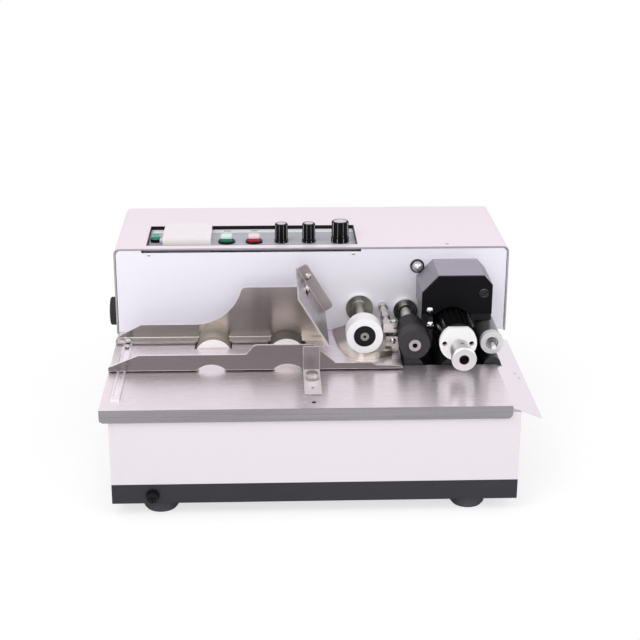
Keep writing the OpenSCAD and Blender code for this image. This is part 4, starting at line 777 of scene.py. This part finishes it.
def bar(form, place, size, angle=0.0):
    """Adds a box to a form, centred in X and Y on a place and standing on it, turned about Z."""
    turn = Matrix.Rotation(angle, 3, "Z")
    corners = []
    for dz in (0.0, size[2]):
        for dx, dy in ((-1, -1), (1, -1), (1, 1), (-1, 1)):
            spot = turn @ Vector((dx * size[0] / 2, dy * size[1] / 2, dz))
            corners.append(form.verts.new(Vector(place) + spot))
    for face in ((0, 1, 2, 3), (4, 5, 6, 7), (0, 1, 5, 4), (1, 2, 6, 5), (2, 3, 7, 6), (3, 0, 4, 7)):
        form.faces.new([corners[i] for i in face])


panel_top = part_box("control_panel")[1].z


def knob_trim(knob, body):
    """Bright cap in the knob's top and a ring of dial ticks on the panel round its foot."""
    low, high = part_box(knob)
    radius = (high.x - low.x) / 2
    top = middle(knob)
    rim, ease, tip = 2.5 * MM, 0.3 * MM, 0.2 * MM
    cap_r = radius - rim
    form = bmesh.new()
    sunk_wall = [(cap_r, -0.45 * MM), (cap_r, -0.1 * MM)]
    low_dome = [(cap_r - ease, 0.05 * MM), (cap_r * 0.6, 0.12 * MM), (tip, 0.15 * MM)]
    turned(form, sunk_wall + low_dome, top, UP)
    piece(knob + "_cap", form, chrome, body)
    tick = (0.45 * MM, 1.5 * MM, 0.06 * MM)
    tick_gap = 1.9 * MM
    tick_r = radius + tick_gap
    form = bmesh.new()
    for i in range(DIAL_TICKS):
        angle = math.radians(-DIAL_SWEEP / 2 + DIAL_SWEEP * i / (DIAL_TICKS - 1))
        spot = Vector((math.sin(angle), math.cos(angle), 0)) * tick_r
        bar(form, (top.x + spot.x, top.y + spot.y, panel_top), tick, -angle)
    piece(knob + "_dial", form, white_plastic, "machine", smooth=False)


def front_ring(name, mat, place, profile):
    """Hollow ring on a face that looks to the front."""
    form = bmesh.new()
    turned(form, profile, place, TO_FRONT, hollow=True)
    piece(name, form, mat, "machine")


def nut_black_ring():
    """Black ring under the dome nut beside the ink housing."""
    low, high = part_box("ink_housing")
    inward, down = 0.5 * MM, 7.0 * MM
    place = Vector((low.x + inward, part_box("front_panel")[0].y, high.z - down))
    outer, bore = 6.9 * MM, 5.7 * MM
    wall, height, ease = 0.9 * MM, 1.4 * MM, 0.4 * MM
    profile = [(outer, 0.0), (outer, wall), (outer - ease, wall + ease), (bore, height), (bore, 0.0)]
    front_ring("nut_black_ring", black_plastic, place, profile)


def pivot_ring():
    """Dark metal ring round the pivot's head on the ink cover."""
    low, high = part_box("ink_housing")
    inward, rise = 8.0 * MM, 28.0 * MM
    place = Vector((high.x - inward, low.y, low.z + rise))
    outer, bore = 4.3 * MM, 3.8 * MM
    sunk, proud = -0.3 * MM, 0.05 * MM
    profile = [(outer, sunk), (outer, proud), (bore, proud), (bore, sunk)]
    front_ring("pivot_ring", dark_metal, place, profile)


def chute_cheek():
    """Thin cheek inside the shell's front corner: it closes the gap under the sloping chute."""
    table_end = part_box("table_plate")[1].x
    shell_low, shell_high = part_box("base_shell")
    chute_low, chute_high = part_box("exit_chute")
    sheet, gap, depth = 1.5 * MM, 0.2 * MM, 8.0 * MM
    under = chute_high.z - 2 * sheet
    fall = (under - chute_low.z) / (chute_high.x - table_end)
    foot = chute_high.z - depth
    left, right = table_end + gap, shell_high.x - sheet - gap
    front = shell_low.y + sheet + gap
    outline = [(left, foot), (right, foot)]
    outline += [(x, under - fall * (x - table_end) - gap) for x in (right, left)]
    form = bmesh.new()
    rows = [[form.verts.new((x, y, z)) for x, z in outline] for y in (front, front + sheet)]
    for row in rows:
        form.faces.new(row)
    for i in range(len(outline)):
        j = (i + 1) % len(outline)
        form.faces.new((rows[0][i], rows[0][j], rows[1][j], rows[1][i]))
    piece("chute_cheek", form, case_steel, "machine", smooth=False)


def panel_band():
    """Pale printed band along the rear of the control panel, with a short mark behind each control."""
    low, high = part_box("panel_surround")
    counter_low, counter_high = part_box("counter_window")
    wall, depth, ink, gap = 4.1 * MM, 11.0 * MM, 0.05 * MM, 0.6 * MM
    mark = (7.0 * MM, 1.6 * MM, ink)
    row = high.y - wall - depth / 2
    form = bmesh.new()
    for left, right in ((low.x + wall, counter_low.x), (counter_high.x, high.x - wall)):
        bar(form, ((left + right) / 2, row, panel_top), (right - left - gap, depth, ink))
    piece("panel_band", form, white_plastic, "machine", smooth=False)
    form = bmesh.new()
    for node in ("start_button", "stop_button", "speed_knob", "delay_knob", "heat_knob"):
        bar(form, (middle(node).x, row, panel_top + ink), mark)
    piece("panel_marks", form, black_plastic, "machine", smooth=False)


for knob, body in (("speed_knob", "speed"), ("delay_knob", "delay"), ("heat_knob", "heat")):
    knob_trim(knob, body)
nut_black_ring()
pivot_ring()
chute_cheek()
panel_band()


# Stage


def seen_rays(tree):
    """1 for rays from the camera and for those seen in a mirror or through glass, 0 for light."""
    path = add(tree, "LightPath")
    seen = path.outputs["Is Camera Ray"]
    for ray in ("Is Glossy Ray", "Is Transmission Ray"):
        seen = sums(tree, "MAXIMUM", seen, path.outputs[ray])
    return seen


def mix_shaders(tree, fac, first, second):
    """Mix of two shaders by a socket."""
    return add(tree, "MixShader", {"Fac": fac, 1: first, 2: second}).outputs[0]


def floor_white():
    """Lights the object as a plain pale floor, while the camera sees it white with a shadow."""
    mat, tree, shader = new_material("floor_white")
    tone = mottled(tree, noise(tree, scale=3.0, detail=2.0), FLOOR_COLOUR, contrast=0.01)
    plug(tree, shader, {"Base Color": tone, "Roughness": 0.9})
    shade = add(tree, "BsdfDiffuse", {"Color": (*FLOOR_SHADE, 1.0)}).outputs[0]
    glow = add(tree, "Emission", {"Strength": FLOOR_GLOW}).outputs[0]
    shadowed = add(tree, "AddShader", {0: shade, 1: glow}).outputs[0]
    white = add(tree, "Emission", {"Strength": 1.0}).outputs[0]
    reach = vectors(tree, "LENGTH", surface(tree, "Object"))
    seen = mix_shaders(tree, between(tree, reach, SHADOW_NEAR, SHADOW_FAR), shadowed, white)
    picked = mix_shaders(tree, seen_rays(tree), shader.outputs[0], seen)
    plug(tree, tree.nodes["Material Output"], {"Surface": picked})
    return mat


def floor():
    """Wide white floor."""
    mesh = bpy.data.meshes.new("floor")
    form = bmesh.new()
    bmesh.ops.create_grid(form, x_segments=1, y_segments=1, size=FLOOR_HALF)
    form.to_mesh(mesh)
    form.free()
    obj = bpy.data.objects.new("floor", mesh)
    scene.collection.objects.link(obj)
    obj.data.materials.append(floor_white())


def room():
    """White room: full white for the camera and for reflections, softer as a light."""
    world = bpy.data.worlds.new("room")
    scene.world = world
    world.use_nodes = True
    tree = world.node_tree
    tree.nodes.clear()
    soft = add(tree, "Background", {"Color": WHITE, "Strength": ROOM_STRENGTH}).outputs[0]
    white = add(tree, "Background", {"Color": WHITE, "Strength": 1.0}).outputs[0]
    add(tree, "OutputWorld", {"Surface": mix_shaders(tree, seen_rays(tree), soft, white)})


def lamp(name, place, target, size, power):
    """Square area lamp at a place, turned to a target."""
    data = bpy.data.lights.new(name, "AREA")
    data.shape = "SQUARE"
    data.size = size
    data.energy = power
    obj = bpy.data.objects.new(name, data)
    obj.location = place
    obj.rotation_euler = (Vector(target) - Vector(place)).to_track_quat("-Z", "Y").to_euler()
    scene.collection.objects.link(obj)


def camera():
    """Camera that sees the part as the photograph does."""
    data = bpy.data.cameras.new("camera")
    data.sensor_width = SENSOR
    data.lens = CAMERA_FOCAL
    data.clip_start = CLIP_NEAR
    data.clip_end = CLIP_FAR
    obj = bpy.data.objects.new("camera", data)
    turn = (
        Matrix.Rotation(math.radians(-CAMERA_YAW), 4, "Z")
        @ Matrix.Rotation(math.radians(90.0 - CAMERA_PITCH), 4, "X")
        @ Matrix.Rotation(math.radians(CAMERA_ROLL), 4, "Z")
    )
    obj.matrix_world = Matrix.Translation(CAMERA_PLACE) @ turn
    scene.collection.objects.link(obj)
    scene.camera = obj


floor()
room()
camera()
lamp("key", place=(-0.9, -1.1, 1.6), target=(0.0, 0.0, 0.1), size=1.4, power=KEY_POWER)
lamp("fill", place=(1.3, -0.8, 1.1), target=(0.0, 0.0, 0.1), size=1.2, power=FILL_POWER)
lamp("front", place=(0.2, -1.7, 0.7), target=(0.0, 0.0, 0.14), size=1.2, power=FRONT_POWER)
scene.view_settings.view_transform = "Standard"
